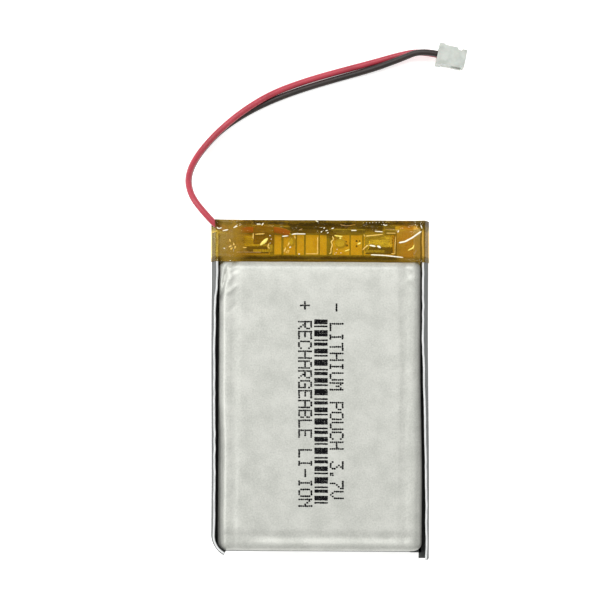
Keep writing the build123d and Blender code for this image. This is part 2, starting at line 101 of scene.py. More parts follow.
def mesh_object(name: str, bm: bmesh.types.BMesh, smooth: bool = True) -> bpy.types.Object:
    """Turn a bmesh that is in millimetres into an object in metres, at the origin.

    Args:
        name: The piece's name.
        bm: The shape; it is freed.
        smooth: Whether its faces are shaded smooth.

    Returns:
        The new object, linked to the scene.
    """
    bmesh.ops.transform(bm, matrix=Matrix.Scale(MM, 4), verts=bm.verts)
    for face in bm.faces:
        face.smooth = smooth
    mesh = bpy.data.meshes.new(name)
    bm.to_mesh(mesh)
    bm.free()
    piece = bpy.data.objects.new(name, mesh)
    bpy.context.scene.collection.objects.link(piece)
    return piece


def remeshed(bm: bmesh.types.BMesh, voxel: float) -> bmesh.types.BMesh:
    """Rebuild a closed shape with an even mesh, ready for small moves of its points.

    Args:
        bm: A closed shape in millimetres; it is freed.
        voxel: The new mesh's size, in millimetres.

    Returns:
        The new shape.
    """
    source = mesh_object("remesh_source", bm)
    modifier = source.modifiers.new("Remesh", "REMESH")
    modifier.mode = "VOXEL"
    modifier.voxel_size = voxel * MM
    depsgraph = bpy.context.evaluated_depsgraph_get()
    mesh = bpy.data.meshes.new_from_object(source.evaluated_get(depsgraph))
    result = bmesh.new()
    result.from_mesh(mesh)
    bmesh.ops.transform(result, matrix=Matrix.Scale(1 / MM, 4), verts=result.verts)
    old = source.data
    bpy.data.objects.remove(source)
    bpy.data.meshes.remove(old)
    bpy.data.meshes.remove(mesh)
    return result


def add_block(
    bm: bmesh.types.BMesh, size: Point, centre: Point, bevel: float = 0.0, segments: int = 3
) -> list[bmesh.types.BMVert]:
    """Add a block with softened edges.

    Args:
        bm: The shape to add to.
        size: Width, length and height.
        centre: The block's middle.
        bevel: Radius of its edges; 0 leaves them sharp.
        segments: Steps across each rounded edge.

    Returns:
        The block's points.
    """
    made = bmesh.ops.create_cube(bm, size=1.0)["verts"]
    bmesh.ops.scale(bm, vec=size, verts=made)
    bmesh.ops.translate(bm, vec=centre, verts=made)
    if bevel:
        edges = list({edge for vert in made for edge in vert.link_edges})
        cut = bmesh.ops.bevel(
            bm, geom=edges, offset=bevel, segments=segments, profile=0.5, affect="EDGES", material=-1
        )
        made = list({*cut["verts"], *[v for v in made if v.is_valid]})
    return made


def place(piece: bpy.types.Object, slot: str, nodes: Sequence[str] = ()) -> bpy.types.Object:
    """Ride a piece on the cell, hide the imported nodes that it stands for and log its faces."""
    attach(piece, ROOT)
    if nodes:
        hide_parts(*nodes)
    log.info("piece %s: %d faces", piece.name, len(getattr(piece.data, "polygons", [])))
    return piece


# ------------------------------------------------------------------------------------ materials
class Recipe:
    """A node material in the making, with short ways to add and join its nodes."""

    def __init__(self, name: str) -> None:
        """Start an empty material with its output."""
        self.material = bpy.data.materials.new(name)
        self.material.use_nodes = True
        self.tree = self.material.node_tree
        self.tree.nodes.clear()
        self.output = self.add("ShaderNodeOutputMaterial")

    def add(self, kind: str, **settings: object) -> bpy.types.Node:
        """Add a node and set its own properties."""
        node = self.tree.nodes.new(kind)
        for key, value in settings.items():
            setattr(node, key, value)
        return node

    def join(self, source: bpy.types.NodeSocket, target: bpy.types.NodeSocket) -> None:
        """Link one socket to another."""
        self.tree.links.new(source, target)

    def coords(self, scale: Point = (1.0, 1.0, 1.0)) -> bpy.types.NodeSocket:
        """Return object coordinates in millimetres, stretched by scale."""
        where = self.add("ShaderNodeTexCoord")
        mapping = self.add("ShaderNodeMapping")
        mapping.inputs["Scale"].default_value = [value / MM for value in scale]
        self.join(where.outputs["Object"], mapping.inputs["Vector"])
        return mapping.outputs["Vector"]

    def noise(
        self, size: float, detail: float = 2.0, rough: float = 0.5, scale: Point = (1.0, 1.0, 1.0)
    ) -> bpy.types.NodeSocket:
        """Return noise whose features are about size millimetres across."""
        node = self.add("ShaderNodeTexNoise")
        node.inputs["Scale"].default_value = 1.0 / size
        node.inputs["Detail"].default_value = detail
        node.inputs["Roughness"].default_value = rough
        self.join(self.coords(scale), node.inputs["Vector"])
        return node.outputs["Fac"]

    def ramp(self, fac: bpy.types.NodeSocket, stops: Sequence[tuple[float, Colour]]) -> bpy.types.NodeSocket:
        """Return a colour ramp over fac."""
        node = self.add("ShaderNodeValToRGB")
        elements = node.color_ramp.elements
        while len(elements) < len(stops):
            elements.new(0.5)
        for element, (position, colour) in zip(elements, stops):
            element.position = position
            element.color = colour
        self.join(fac, node.inputs["Fac"])
        return node.outputs["Color"]

    def spread(self, fac: bpy.types.NodeSocket, low: float, high: float) -> bpy.types.NodeSocket:
        """Return fac brought from its usual 0.3 to 0.7 onto low to high."""
        node = self.add("ShaderNodeMapRange")
        node.inputs["From Min"].default_value = 0.3
        node.inputs["From Max"].default_value = 0.7
        node.inputs["To Min"].default_value = low
        node.inputs["To Max"].default_value = high
        self.join(fac, node.inputs["Value"])
        return node.outputs["Result"]

    def math(self, operation: str, a: object, b: object = 0.0) -> bpy.types.NodeSocket:
        """Return the result of a sum over two sockets or numbers."""
        node = self.add("ShaderNodeMath", operation=operation)
        for value, socket in zip((a, b), node.inputs):
            if isinstance(value, bpy.types.NodeSocket):
                self.join(value, socket)
            else:
                socket.default_value = value
        return node.outputs["Value"]

    def bump(
        self, height: bpy.types.NodeSocket, depth: float, strength: float = 1.0, under: object = None
    ) -> bpy.types.NodeSocket:
        """Return a normal bent by height, whose full range is depth millimetres."""
        node = self.add("ShaderNodeBump")
        node.inputs["Strength"].default_value = strength
        node.inputs["Distance"].default_value = depth * MM
        self.join(height, node.inputs["Height"])
        if under is not None:
            self.join(under, node.inputs["Normal"])
        return node.outputs["Normal"]

    def surface(self, **inputs: object) -> bpy.types.Node:
        """Add the principled shader, with constants or sockets for its inputs, and output it.

        Args:
            inputs: Input names with spaces as underscores, such as Base_Color.

        Returns:
            The shader node.
        """
        shader = self.add("ShaderNodeBsdfPrincipled")
        for key, value in inputs.items():
            socket = shader.inputs[key.replace("_", " ")]
            if isinstance(value, bpy.types.NodeSocket):
                self.join(value, socket)
            else:
                socket.default_value = value
        self.join(shader.outputs["BSDF"], self.output.inputs["Surface"])
        return shader


@dataclass(frozen=True)
class LaminateFinish:
    """Pouch foil: a fine matt nylon skin over aluminium, with a faint cloudy tone."""

    name: str = "laminate_foil"
    light: Colour = (0.64, 0.645, 0.60, 1.0)
    dark: Colour = (0.49, 0.50, 0.46, 1.0)
    grain: float = 0.16
    cloud: float = 3.2
    speck_share: float = 0.55
    metallic: float = 0.35

    def make(self) -> bpy.types.Material:
        """Build the material."""
        recipe = Recipe(self.name)
        cloud = recipe.noise(self.cloud, detail=4.0, rough=0.62)
        speck = recipe.noise(self.grain * 1.6, detail=3.0, rough=0.7)
        tone = recipe.math(
            "ADD",
            recipe.math("MULTIPLY", cloud, 1 - self.speck_share),
            recipe.math("MULTIPLY", speck, self.speck_share),
        )
        colour = recipe.ramp(tone, [(0.38, self.dark), (0.6, self.light)])
        grain = recipe.noise(self.grain, detail=2.0, rough=0.6)
        soft = recipe.bump(recipe.noise(2.4, detail=3.0), 0.05, 0.35)
        recipe.surface(
            Base_Color=colour,
            Metallic=self.metallic,
            Roughness=recipe.spread(speck, 0.42, 0.56),
            Normal=recipe.bump(grain, 0.028, 0.75, soft),
        )
        return recipe.material


@dataclass(frozen=True)
class FilmFinish:
    """Amber polyimide film: clear and glossy, with bands of painted shade near both edges of the wrap."""

    name: str = "polyimide_film"
    left: Colour = (0.99, 0.92, 0.58, 1.0)
    centre: Colour = (0.99, 0.945, 0.66, 1.0)
    right: Colour = (0.99, 0.87, 0.56, 1.0)
    # Tints of the bands of painted shade, by Y in millimetres.
    painted_shade_stops: tuple[tuple[float, Colour], ...] = (
        (19.9, (0.66, 0.58, 0.34, 1.0)),
        (20.5, (0.70, 0.62, 0.38, 1.0)),
        (24.7, (0.72, 0.67, 0.42, 1.0)),
        (25.4, (0.59, 0.53, 0.29, 1.0)),
        (26.0, (0.26, 0.22, 0.11, 1.0)),
    )
    reach: tuple[float, float] = (19.5, 26.6)
    glare: float = 0.1
    body: Colour = (0.48, 0.29, 0.02, 1.0)
    cover: float = 0.012
    # The film shows more of its own body near the left and right sides, as painted light over the shaded
    # terrace.
    cover_left: float = 0.34
    cover_right: float = 0.06
    roughness: float = 0.07
    ior: float = 1.7
    cell_width: float = 34.0
    cloudiness: float = 0.06
    raggedness: float = 0.7
    far_band: tuple[float, float] = (24.35, 25.3)
    far_window: tuple[float, float, float, float] = (-5.2, -4.4, 9.6, 10.2)
    corners: tuple[tuple[float, float], ...] = ((-15.2, -15.9), (15.2, 15.9))
    window_step: float = 1.0
    near_band: tuple[float, float] = (20.95, 20.45)
    bands: bool = True

    def band(
        self, recipe: Recipe, along: bpy.types.NodeSocket, ends: tuple[float, float]
    ) -> bpy.types.NodeSocket:
        """Return 0 to 1 as a place goes from one end of a band's edge to the other."""
        step = recipe.add("ShaderNodeMapRange", interpolation_type="SMOOTHSTEP")
        low, high = sorted(ends)
        step.inputs["From Min"].default_value = low
        step.inputs["From Max"].default_value = high
        rising = ends[0] < ends[1]
        step.inputs["To Min"].default_value = 0.0 if rising else 1.0
        step.inputs["To Max"].default_value = 1.0 if rising else 0.0
        recipe.join(along, step.inputs["Value"])
        return step.outputs["Result"]

    def paint_band_shade(
        self, recipe: Recipe, tint: bpy.types.NodeSocket, spot: bpy.types.Node, mottle: bpy.types.NodeSocket
    ) -> bpy.types.NodeSocket:
        """Paint shade into the tint near both edges of the wrap: over the dark gap past the board and at the
        step down from the cup.

        Args:
            recipe: The material in the making.
            tint: The colour of the film in one layer.
            spot: The node that splits the place on the film into X, Y and Z, in millimetres.
            mottle: Noise that makes the bands' edges ragged.

        Returns:
            The colour with its bands of painted shade.
        """
        across, along = spot.outputs["X"], spot.outputs["Y"]
        ragged = recipe.math(
            "ADD", along, recipe.math("MULTIPLY", recipe.spread(mottle, -0.5, 0.5), self.raggedness)
        )
        left_from, left_to, right_from, right_to = self.far_window
        window = recipe.math(
            "MULTIPLY",
            self.band(recipe, across, (left_from, left_to)),
            self.band(recipe, across, (right_to, right_from)),
        )
        for corner in self.corners:
            window = recipe.math("MAXIMUM", window, self.band(recipe, across, corner))
        late = recipe.math("MULTIPLY", recipe.math("SUBTRACT", window, 1.0), self.window_step)
        band_shade = recipe.math(
            "MAXIMUM",
            self.band(recipe, recipe.math("ADD", ragged, late), self.far_band),
            self.band(recipe, ragged, self.near_band),
        )
        low, high = self.reach
        share = recipe.math("DIVIDE", recipe.math("SUBTRACT", along, low), high - low)
        stops = [((y - low) / (high - low), colour) for y, colour in self.painted_shade_stops]
        mixed = recipe.add("ShaderNodeMix", data_type="RGBA")
        recipe.join(band_shade, mixed.inputs["Factor"])
        recipe.join(tint, mixed.inputs["A"])
        recipe.join(recipe.ramp(share, stops), mixed.inputs["B"])
        return mixed.outputs["Result"]

    def cover_stops(self) -> list[tuple[float, Colour]]:
        """Return how much of its own body the film shows, from the cell's left side to its right; the raised
        share near both sides is painted light.
        """
        stops = (
            (0.02, self.cover),
            (0.05, self.cover_left),
            (0.11, self.cover_left),
            (0.17, self.cover),
            (0.84, self.cover),
            (0.9, self.cover_right),
        )
        return [(where, (value, value, value, 1.0)) for where, value in stops]

    def make(self) -> bpy.types.Material:
        """Build the material."""
        recipe = Recipe(self.name)
        spot = recipe.add("ShaderNodeSeparateXYZ")
        recipe.join(recipe.coords(), spot.inputs["Vector"])
        across = recipe.math("MULTIPLY_ADD", spot.outputs["X"], 1.0 / self.cell_width)
        across.node.inputs[2].default_value = 0.5
        mottle = recipe.noise(1.6, detail=4.0, rough=0.65, scale=(0.5, 1.0, 1.0))
        cloud = recipe.math("MULTIPLY", recipe.spread(mottle, -0.5, 0.5), self.cloudiness)
        share = recipe.math("ADD", across, cloud)
        sides = (
            (0.0, self.left),
            (0.14, self.left),
            (0.3, self.centre),
            (0.82, self.centre),
            (0.9, self.right),
        )
        tint = recipe.ramp(share, sides)
        # Bands of painted shade near the wrap's edges.
        if self.bands:
            tint = self.paint_band_shade(recipe, tint, spot, mottle)
        through = recipe.add("ShaderNodeBsdfTransparent")
        recipe.join(tint, through.inputs["Color"])
        crinkle = recipe.bump(recipe.noise(0.9, detail=4.0, rough=0.6), 0.05, 0.4)
        skin = recipe.add("ShaderNodeBsdfPrincipled")
        skin.inputs["Base Color"].default_value = self.body
        skin.inputs["Roughness"].default_value = self.roughness
        skin.inputs["IOR"].default_value = self.ior
        recipe.join(crinkle, skin.inputs["Normal"])
        fresnel = recipe.add("ShaderNodeFresnel")
        fresnel.inputs["IOR"].default_value = self.ior
        recipe.join(crinkle, fresnel.inputs["Normal"])
        glare = recipe.math("MINIMUM", fresnel.outputs["Fac"], self.glare)
        mix = recipe.add("ShaderNodeMixShader")
        recipe.join(recipe.math("ADD", glare, recipe.ramp(share, self.cover_stops())), mix.inputs["Fac"])
        recipe.join(through.outputs["BSDF"], mix.inputs[1])
        recipe.join(skin.outputs["BSDF"], mix.inputs[2])
        recipe.join(mix.outputs["Shader"], recipe.output.inputs["Surface"])
        return recipe.material


@dataclass(frozen=True)
class PlasticFinish:
    """Moulded or extruded plastic, with a slight waviness and a little scatter."""

    name: str
    light: Colour
    dark: Colour
    roughness: tuple[float, float] = (0.35, 0.5)
    cloud: float = 1.5
    grain: float = 0.12
    depth: float = 0.006
    scatter: float = 0.0
    shine: float = 0.5

    def make(self) -> bpy.types.Material:
        """Build the material."""
        recipe = Recipe(self.name)
        cloud = recipe.noise(self.cloud, detail=3.0)
        grain = recipe.noise(self.grain, detail=3.0, rough=0.6)
        recipe.surface(
            Base_Color=recipe.ramp(cloud, [(0.35, self.dark), (0.62, self.light)]),
            Roughness=recipe.spread(grain, *self.roughness),
            Subsurface_Weight=self.scatter,
            Subsurface_Scale=0.4 * MM,
            Specular_IOR_Level=self.shine,
            Normal=recipe.bump(grain, self.depth, 0.6),
        )
        return recipe.material


@dataclass(frozen=True)
class MetalFinish:
    """Rolled, plated or soldered metal, with streaks along one direction and dull spots."""

    name: str
    light: Colour
    dark: Colour
    roughness: tuple[float, float] = (0.18, 0.38)
    streak: Point = (1.0, 1.0, 1.0)
    size: float = 0.3
    depth: float = 0.006
    metallic: float = 1.0

    def make(self) -> bpy.types.Material:
        """Build the material."""
        recipe = Recipe(self.name)
        streak = recipe.noise(self.size, detail=4.0, rough=0.6, scale=self.streak)
        spots = recipe.noise(self.size * 4, detail=2.0)
        recipe.surface(
            Base_Color=recipe.ramp(spots, [(0.35, self.dark), (0.6, self.light)]),
            Metallic=self.metallic,
            Roughness=recipe.spread(streak, *self.roughness),
            Normal=recipe.bump(streak, self.depth, 0.6),
        )
        return recipe.material


FINISHES: dict[str, object] = {
    "laminate": LaminateFinish(),
    # The terrace's foil is painted far lighter than the cup's foil, as painted light under the tape.
    "terrace_foil_painted_light": LaminateFinish(
        "terrace_foil_painted_light", (0.96, 0.96, 0.94, 1.0), (0.86, 0.86, 0.84, 1.0), metallic=0.1
    ),
    "seal_edge": PlasticFinish(
        "seal_cut_edge", (0.82, 0.83, 0.83, 1), (0.70, 0.71, 0.71, 1), (0.4, 0.55)
    ),
    "film": FilmFinish(),
    "end_film": FilmFinish("polyimide_end_film", bands=False),
    "strip_film": FilmFinish(
        "polyimide_strip",
        centre=(0.93, 0.80, 0.42, 1.0),
        cover=0.35,
        cover_left=0.35,
        body=(0.50, 0.30, 0.05, 1.0),
        bands=False,
    ),
    # Painted highlights for the film's folds, from a full glint down to a dim bronze line.
    "fold_glint": PlasticFinish(
        "fold_glint", (1.0, 0.97, 0.82, 1), (0.97, 0.90, 0.68, 1), (0.15, 0.3), 0.7
    ),
    "painted_yellow_glint": PlasticFinish(
        "painted_yellow_glint", (1.0, 0.85, 0.20, 1), (0.90, 0.70, 0.10, 1), (0.15, 0.3), 0.7
    ),
    "painted_gold_glint": PlasticFinish(
        "painted_gold_glint", (0.88, 0.60, 0.14, 1), (0.70, 0.42, 0.06, 1), (0.15, 0.3), 0.7
    ),
    "painted_dim_bronze_glint": PlasticFinish(
        "painted_dim_bronze_glint", (0.48, 0.27, 0.08, 1), (0.32, 0.18, 0.04, 1), (0.2, 0.35), 0.7
    ),
    # Painted shade, laid on the strap slopes that face the cell and in the pad holes.
    "shade": PlasticFinish(
        "painted_shade_brown", (0.05, 0.03, 0.006, 1), (0.018, 0.011, 0.002, 1), (0.4, 0.6), 0.8
    ),
    # The seal foil is painted dark, as painted shade on the steep seals, the ears' roots and the folded
    # end's ridge.
    "seal_foil_painted_shade": PlasticFinish(
        "seal_foil_painted_shade", (0.12, 0.125, 0.125, 1), (0.09, 0.095, 0.095, 1), (0.75, 0.9), 6.0
    ),
    "red_pvc": PlasticFinish(
        "red_insulation", (0.47, 0.044, 0.07, 1), (0.38, 0.028, 0.048, 1), (0.34, 0.5), 4.0, 0.3, 0.008, 0.05
    ),
    "black_pvc": PlasticFinish(
        "black_insulation", (0.026, 0.016, 0.014, 1), (0.014, 0.009, 0.008, 1), (0.4, 0.55), 4.0, 0.3, 0.008
    ),
    "nylon": PlasticFinish(
        "milky_nylon", (0.56, 0.59, 0.55, 1), (0.44, 0.47, 0.43, 1), (0.36, 0.5), 1.2, 0.1, 0.005, 0.1
    ),
    "ink": PlasticFinish(
        "black_ink", (0.006, 0.006, 0.007, 1), (0.004, 0.004, 0.005, 1), (0.9, 1.0), shine=0.1
    ),
    "board": PlasticFinish(
        "solder_mask", (0.30, 0.31, 0.16, 1), (0.20, 0.22, 0.10, 1), (0.25, 0.4), 2.0, 0.2, 0.01
    ),
    "paper": PlasticFinish(
        "insulating_paper", (0.42, 0.42, 0.34, 1), (0.30, 0.30, 0.24, 1), (0.7, 0.9), 0.8, 0.12, 0.02
    ),
    "chip": PlasticFinish("moulded_chip", (0.03, 0.03, 0.032, 1), (0.018, 0.018, 0.02, 1), (0.5, 0.65)),
    "resistor": PlasticFinish("glazed_resistor", (0.04, 0.04, 0.05, 1), (0.02, 0.02, 0.03, 1), (0.2, 0.3)),
    "capacitor": PlasticFinish("tan_ceramic", (0.45, 0.32, 0.2, 1), (0.38, 0.26, 0.15, 1), (0.3, 0.45)),
    "sealant": PlasticFinish("tab_sealant", (0.16, 0.16, 0.17, 1), (0.1, 0.1, 0.11, 1), (0.4, 0.55)),
    "separator": PlasticFinish("separator_film", (0.86, 0.86, 0.84, 1), (0.8, 0.8, 0.78, 1), (0.5, 0.6)),
    "anode": PlasticFinish("graphite_coat", (0.06, 0.06, 0.065, 1), (0.03, 0.03, 0.035, 1), (0.6, 0.8)),
    "cathode": PlasticFinish("oxide_coat", (0.035, 0.035, 0.04, 1), (0.018, 0.018, 0.02, 1), (0.55, 0.75)),
    "roll_tape": PlasticFinish("green_tape", (0.1, 0.42, 0.16, 1), (0.06, 0.32, 0.12, 1), (0.2, 0.35)),
    "gold": MetalFinish(
        "gold_flash", (1.0, 0.76, 0.32, 1), (0.92, 0.64, 0.24, 1), (0.3, 0.45), metallic=0.4
    ),
    "nickel": MetalFinish(
        "rolled_nickel", (0.72, 0.69, 0.64, 1), (0.58, 0.55, 0.50, 1), (0.16, 0.34), (0.15, 1.0, 1.0)
    ),
    "aluminium": MetalFinish(
        "rolled_aluminium", (0.86, 0.86, 0.87, 1), (0.74, 0.74, 0.75, 1), (0.2, 0.36), (1.0, 0.1, 1.0)
    ),
    "solder": MetalFinish(
        "bright_solder", (0.95, 0.90, 0.74, 1), (0.82, 0.76, 0.60, 1), (0.3, 0.5), size=0.4, metallic=0.15
    ),
    "tin": MetalFinish("tinned_metal", (0.78, 0.77, 0.73, 1), (0.64, 0.63, 0.60, 1), (0.2, 0.4)),
}


class Workshop:
    """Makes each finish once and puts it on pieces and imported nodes."""

    def __init__(self) -> None:
        """Start with no material made."""
        self.made: dict[str, bpy.types.Material] = {}

    def material(self, key: str) -> bpy.types.Material:
        """Return the named finish's material."""
        if key not in self.made:
            self.made[key] = FINISHES[key].make()
        return self.made[key]

    def dress(self, piece: bpy.types.Object, *keys: str) -> None:
        """Give a new piece its materials, in the order of its material indices."""
        for key in keys:
            piece.data.materials.append(self.material(key))

    def dress_node(self, node: str, key: str) -> None:
        """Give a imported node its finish."""
        for slot in frame["nodes"][node].material_slots:
            slot.material = self.material(key)


# ------------------------------------------------------------------------------------ pouch
@dataclass(frozen=True)
class Crease:
    """A fold line pressed into the foil, deepest in its middle and fading to its ends."""

    start: tuple[float, float]
    end: tuple[float, float]
    depth: float
    width: float

    def drop(self, x: float, y: float) -> float:
        """Return how far the fold moves the foil at a place."""
        ax, ay = self.start
        bx, by = self.end
        run_x, run_y = bx - ax, by - ay
        length = math.hypot(run_x, run_y)
        along = ((x - ax) * run_x + (y - ay) * run_y) / length
        if not -self.width < along < length + self.width:
            return 0.0
        across = abs((x - ax) * run_y - (y - ay) * run_x) / length
        if across > 3 * self.width:
            return 0.0
        fade = smoothstep(-self.width, length * 0.3, along) * smoothstep(
            length + self.width, length * 0.7, along
        )
        return self.depth * fade * bell(across, self.width)


@dataclass
class PouchCup:
    """One drawn half of the pouch, drawn tight over the roll."""

    side: Side
    width: float = 31.6
    length: float = 45.5
    folded_end: float = -25.2
    mid: float = 5.0
    corner: float = 1.3
    shoulder: float = 1.3
    film: float = 0.15
    voxel: float = 0.26
    bulge: float = 0.35
    slant: float = 0.5
    groove: float = 0.25
    rim_rise: float = 0.19
    rim_fall: float = 0.26
    end_fall: float = 0.16
    lip_fall: float = 0.3
    fold_groove: float = 0.16
    fold_rise: float = 0.22
    settle: float = 0.0
    seed: int = 7
    creases: list[Crease] = field(default_factory=list)

    @property
    def wall_y(self) -> float:
        """Where the cup's end wall stands, behind the terrace."""
        return self.folded_end + self.length

    def add_scuffs(self, count: int) -> None:
        """Scatter faint handling wrinkles near the long edges."""
        dice = random.Random(self.seed)
        for _ in range(count):
            hand = dice.choice((-1, 1))
            x = hand * dice.uniform(10.8, 14.6)
            y = dice.uniform(self.folded_end + 2.5, self.wall_y - 2.5)
            turn = math.radians(dice.uniform(20, 70)) * hand
            run = dice.uniform(1.2, 3.4)
            end = (x + run * math.cos(turn), y + run * math.sin(turn))
            self.creases.append(Crease((x, y), end, dice.uniform(-0.05, 0.035), dice.uniform(0.22, 0.45)))

    def relief(self, x: float, y: float) -> float:
        """Return how far the face lies above or below its flat at a place.

        A soft groove runs inside each long edge and the folded end, with a raised rim outside it, and
        the face falls away towards the taped end, under the wrap's lip.
        """
        half = self.width / 2
        inset = half - abs(x) + 0.25 * noise.noise(Vector((0.0, y * 0.12, x)))
        fall = -self.groove * smoothstep(3.7, 2.4, inset) + self.rim_rise * smoothstep(2.4, 1.5, inset)
        fall -= self.rim_fall * smoothstep(1.2, 0.2, inset)
        ends = -self.end_fall * smoothstep(self.wall_y - 3.5, self.wall_y, y)
        ends -= self.lip_fall * smoothstep(self.wall_y - 1.3, self.wall_y - 0.3, y)
        rim = smoothstep(-11.5, -8.0, x) * smoothstep(half - 0.8, half - 2.2, abs(x))
        ends -= self.fold_groove * smoothstep(self.folded_end + 3.4, self.folded_end + 2.2, y)
        ends += self.fold_rise * rim * smoothstep(self.folded_end + 2.2, self.folded_end + 0.9, y)
        soft = 0.05 * noise.noise(Vector((x * 0.16, y * 0.11, self.side.value * 3.0)))
        fine = 0.012 * noise.noise(Vector((x * 0.9, y * 0.7, 5.0)))
        creased = sum(crease.drop(x, y) for crease in self.creases)
        return fall + ends + soft + fine + creased - self.settle

    def build(self) -> bpy.types.Object:
        """Build the cup as a thin shell.

        Returns:
            The new piece.
        """
        out = self.side.value
        bm = bmesh.new()
        made = bmesh.ops.create_cube(bm, size=1.0)["verts"]
        bmesh.ops.scale(bm, vec=(self.width, self.length, self.mid), verts=made)
        centre_y = self.folded_end + self.length / 2
        bmesh.ops.translate(bm, vec=(0, centre_y, self.mid + out * self.mid / 2), verts=made)
        uprights = [e for e in bm.edges if abs(e.verts[0].co.z - e.verts[1].co.z) > self.mid / 2]
        bmesh.ops.bevel(
            bm, geom=uprights, offset=self.corner, segments=8, profile=0.5, affect="EDGES", material=-1
        )
        face_z = self.mid + out * self.mid
        rim = [e for e in bm.edges if all(abs(v.co.z - face_z) < 1e-4 for v in e.verts)]
        bmesh.ops.bevel(
            bm, geom=rim, offset=self.shoulder, segments=6, profile=0.5, affect="EDGES", material=-1
        )
        bmesh.ops.recalc_face_normals(bm, faces=bm.faces)
        bm = remeshed(bm, self.voxel)
        bmesh.ops.smooth_vert(
            bm, verts=bm.verts, factor=0.5, use_axis_x=True, use_axis_y=True, use_axis_z=True
        )
        seat = [f for f in bm.faces if all(abs(v.co.z - self.mid) < self.voxel * 0.9 for v in f.verts)]
        bmesh.ops.delete(bm, geom=seat, context="FACES")
        for vert in bm.verts:
            height = out * (vert.co.z - self.mid)
            right = smoothstep(self.width / 2 - 2.5, self.width / 2, vert.co.x)
            left = smoothstep(self.width / 2 - 2.5, self.width / 2, -vert.co.x)
            vert.co.x += self.bulge * right * smoothstep(5.0, -15.0, vert.co.y)
            vert.co.x += self.slant * left * smoothstep(0.0, -9.0, vert.co.y) * smoothstep(3.0, 4.8, height)
            share = smoothstep(0.3, self.mid - 0.6, height)
            vert.co.z += out * share * self.relief(vert.co.x, vert.co.y)
        piece = mesh_object(f"pouch_{self.side.name.lower()}", bm)
        wall = piece.modifiers.new("Foil", "SOLIDIFY")
        wall.thickness = self.film * MM
        wall.offset = -1.0
        return piece


@dataclass
class SideSeal:
    """The seal along one side, two foils welded and turned up beside the cup."""

    hand: Hand
    cup_half: float = 15.8
    reach: float = 1.15
    lean: float = 0.87
    low_lean: float = 0.45
    height: float = 4.4
    mid: float = 5.0
    bend: float = 0.35
    foil: float = SEAL_FOIL
    near: float = 25.3
    far: float = -26.5
    stands_from: tuple[float, float] = (-20.0, 20.0)
    flare: float = 0.3
    curl_radius: float = 3.9
    curl_run: float = 4.14
    across: int = 18
    along: int = 150

    def section(self, share: float, y: float) -> tuple[float, float]:
        """Return the section's place at a share of its way, as distance from the wall and height.

        The seal leans in most beside the tape, and stands straighter towards the folded end.
        """
        lean = self.low_lean + (self.lean - self.low_lean) * smoothstep(*self.stands_from, y)
        flat = self.reach - self.bend
        arc = self.bend * math.pi / 2
        rise = self.height - self.bend
        way = share * (flat + arc + rise)
        if way < flat:
            return way, 0.0
        if way < flat + arc:
            turn = (way - flat) / self.bend
            return flat + self.bend * math.sin(turn), self.bend * (1 - math.cos(turn))
        up = way - flat - arc
        return self.reach - lean * up / rise, self.bend + up

    def build(self) -> bpy.types.Object:
        """Build the seal as two welded foils with a pale cut edge; the foils are painted dark, as painted
        shade on the steep seal.
        """
        sign = self.hand.value
        curl_start = self.far + self.curl_run
        bm = bmesh.new()
        bmesh.ops.create_grid(bm, x_segments=self.across, y_segments=self.along, size=0.5)
        for vert in bm.verts:
            y = self.far + (vert.co.y + 0.5) * (self.near - self.far)
            share = vert.co.x + 0.5
            out, up = self.section(share, y)
            wave = noise.noise(Vector((y * 0.19, 4.0 * sign, 0.0))) * 0.16
            wave += noise.noise(Vector((y * 0.8, 9.0 * sign, 0.0))) * 0.05
            out += wave * (up / self.height) ** 1.3
            up += 0.08 * noise.noise(Vector((y * 0.35, 2.0 * sign, 7.0))) * (up / self.height)
            spread = self.flare * smoothstep(12.0, -18.0, y) * smoothstep(0.0, 0.15, share)
            x = self.cup_half + out + spread
            if self.hand is Hand.LEFT and y < curl_start:
                turn = (curl_start - y) / self.curl_radius
                radius = self.curl_radius - (self.cup_half + self.reach - x)
                x = self.cup_half + self.reach - self.curl_radius + radius * math.cos(turn)
                y = curl_start - radius * math.sin(turn)
            vert.co = Vector((sign * x, y, self.mid + up))
        bmesh.ops.recalc_face_normals(bm, faces=bm.faces)
        piece = mesh_object(f"side_seal_{self.hand.name.lower()}", bm)
        wall = piece.modifiers.new("Foils", "SOLIDIFY")
        wall.thickness = self.foil * MM
        wall.offset = 0.0
        wall.material_offset_rim = 1
        return piece


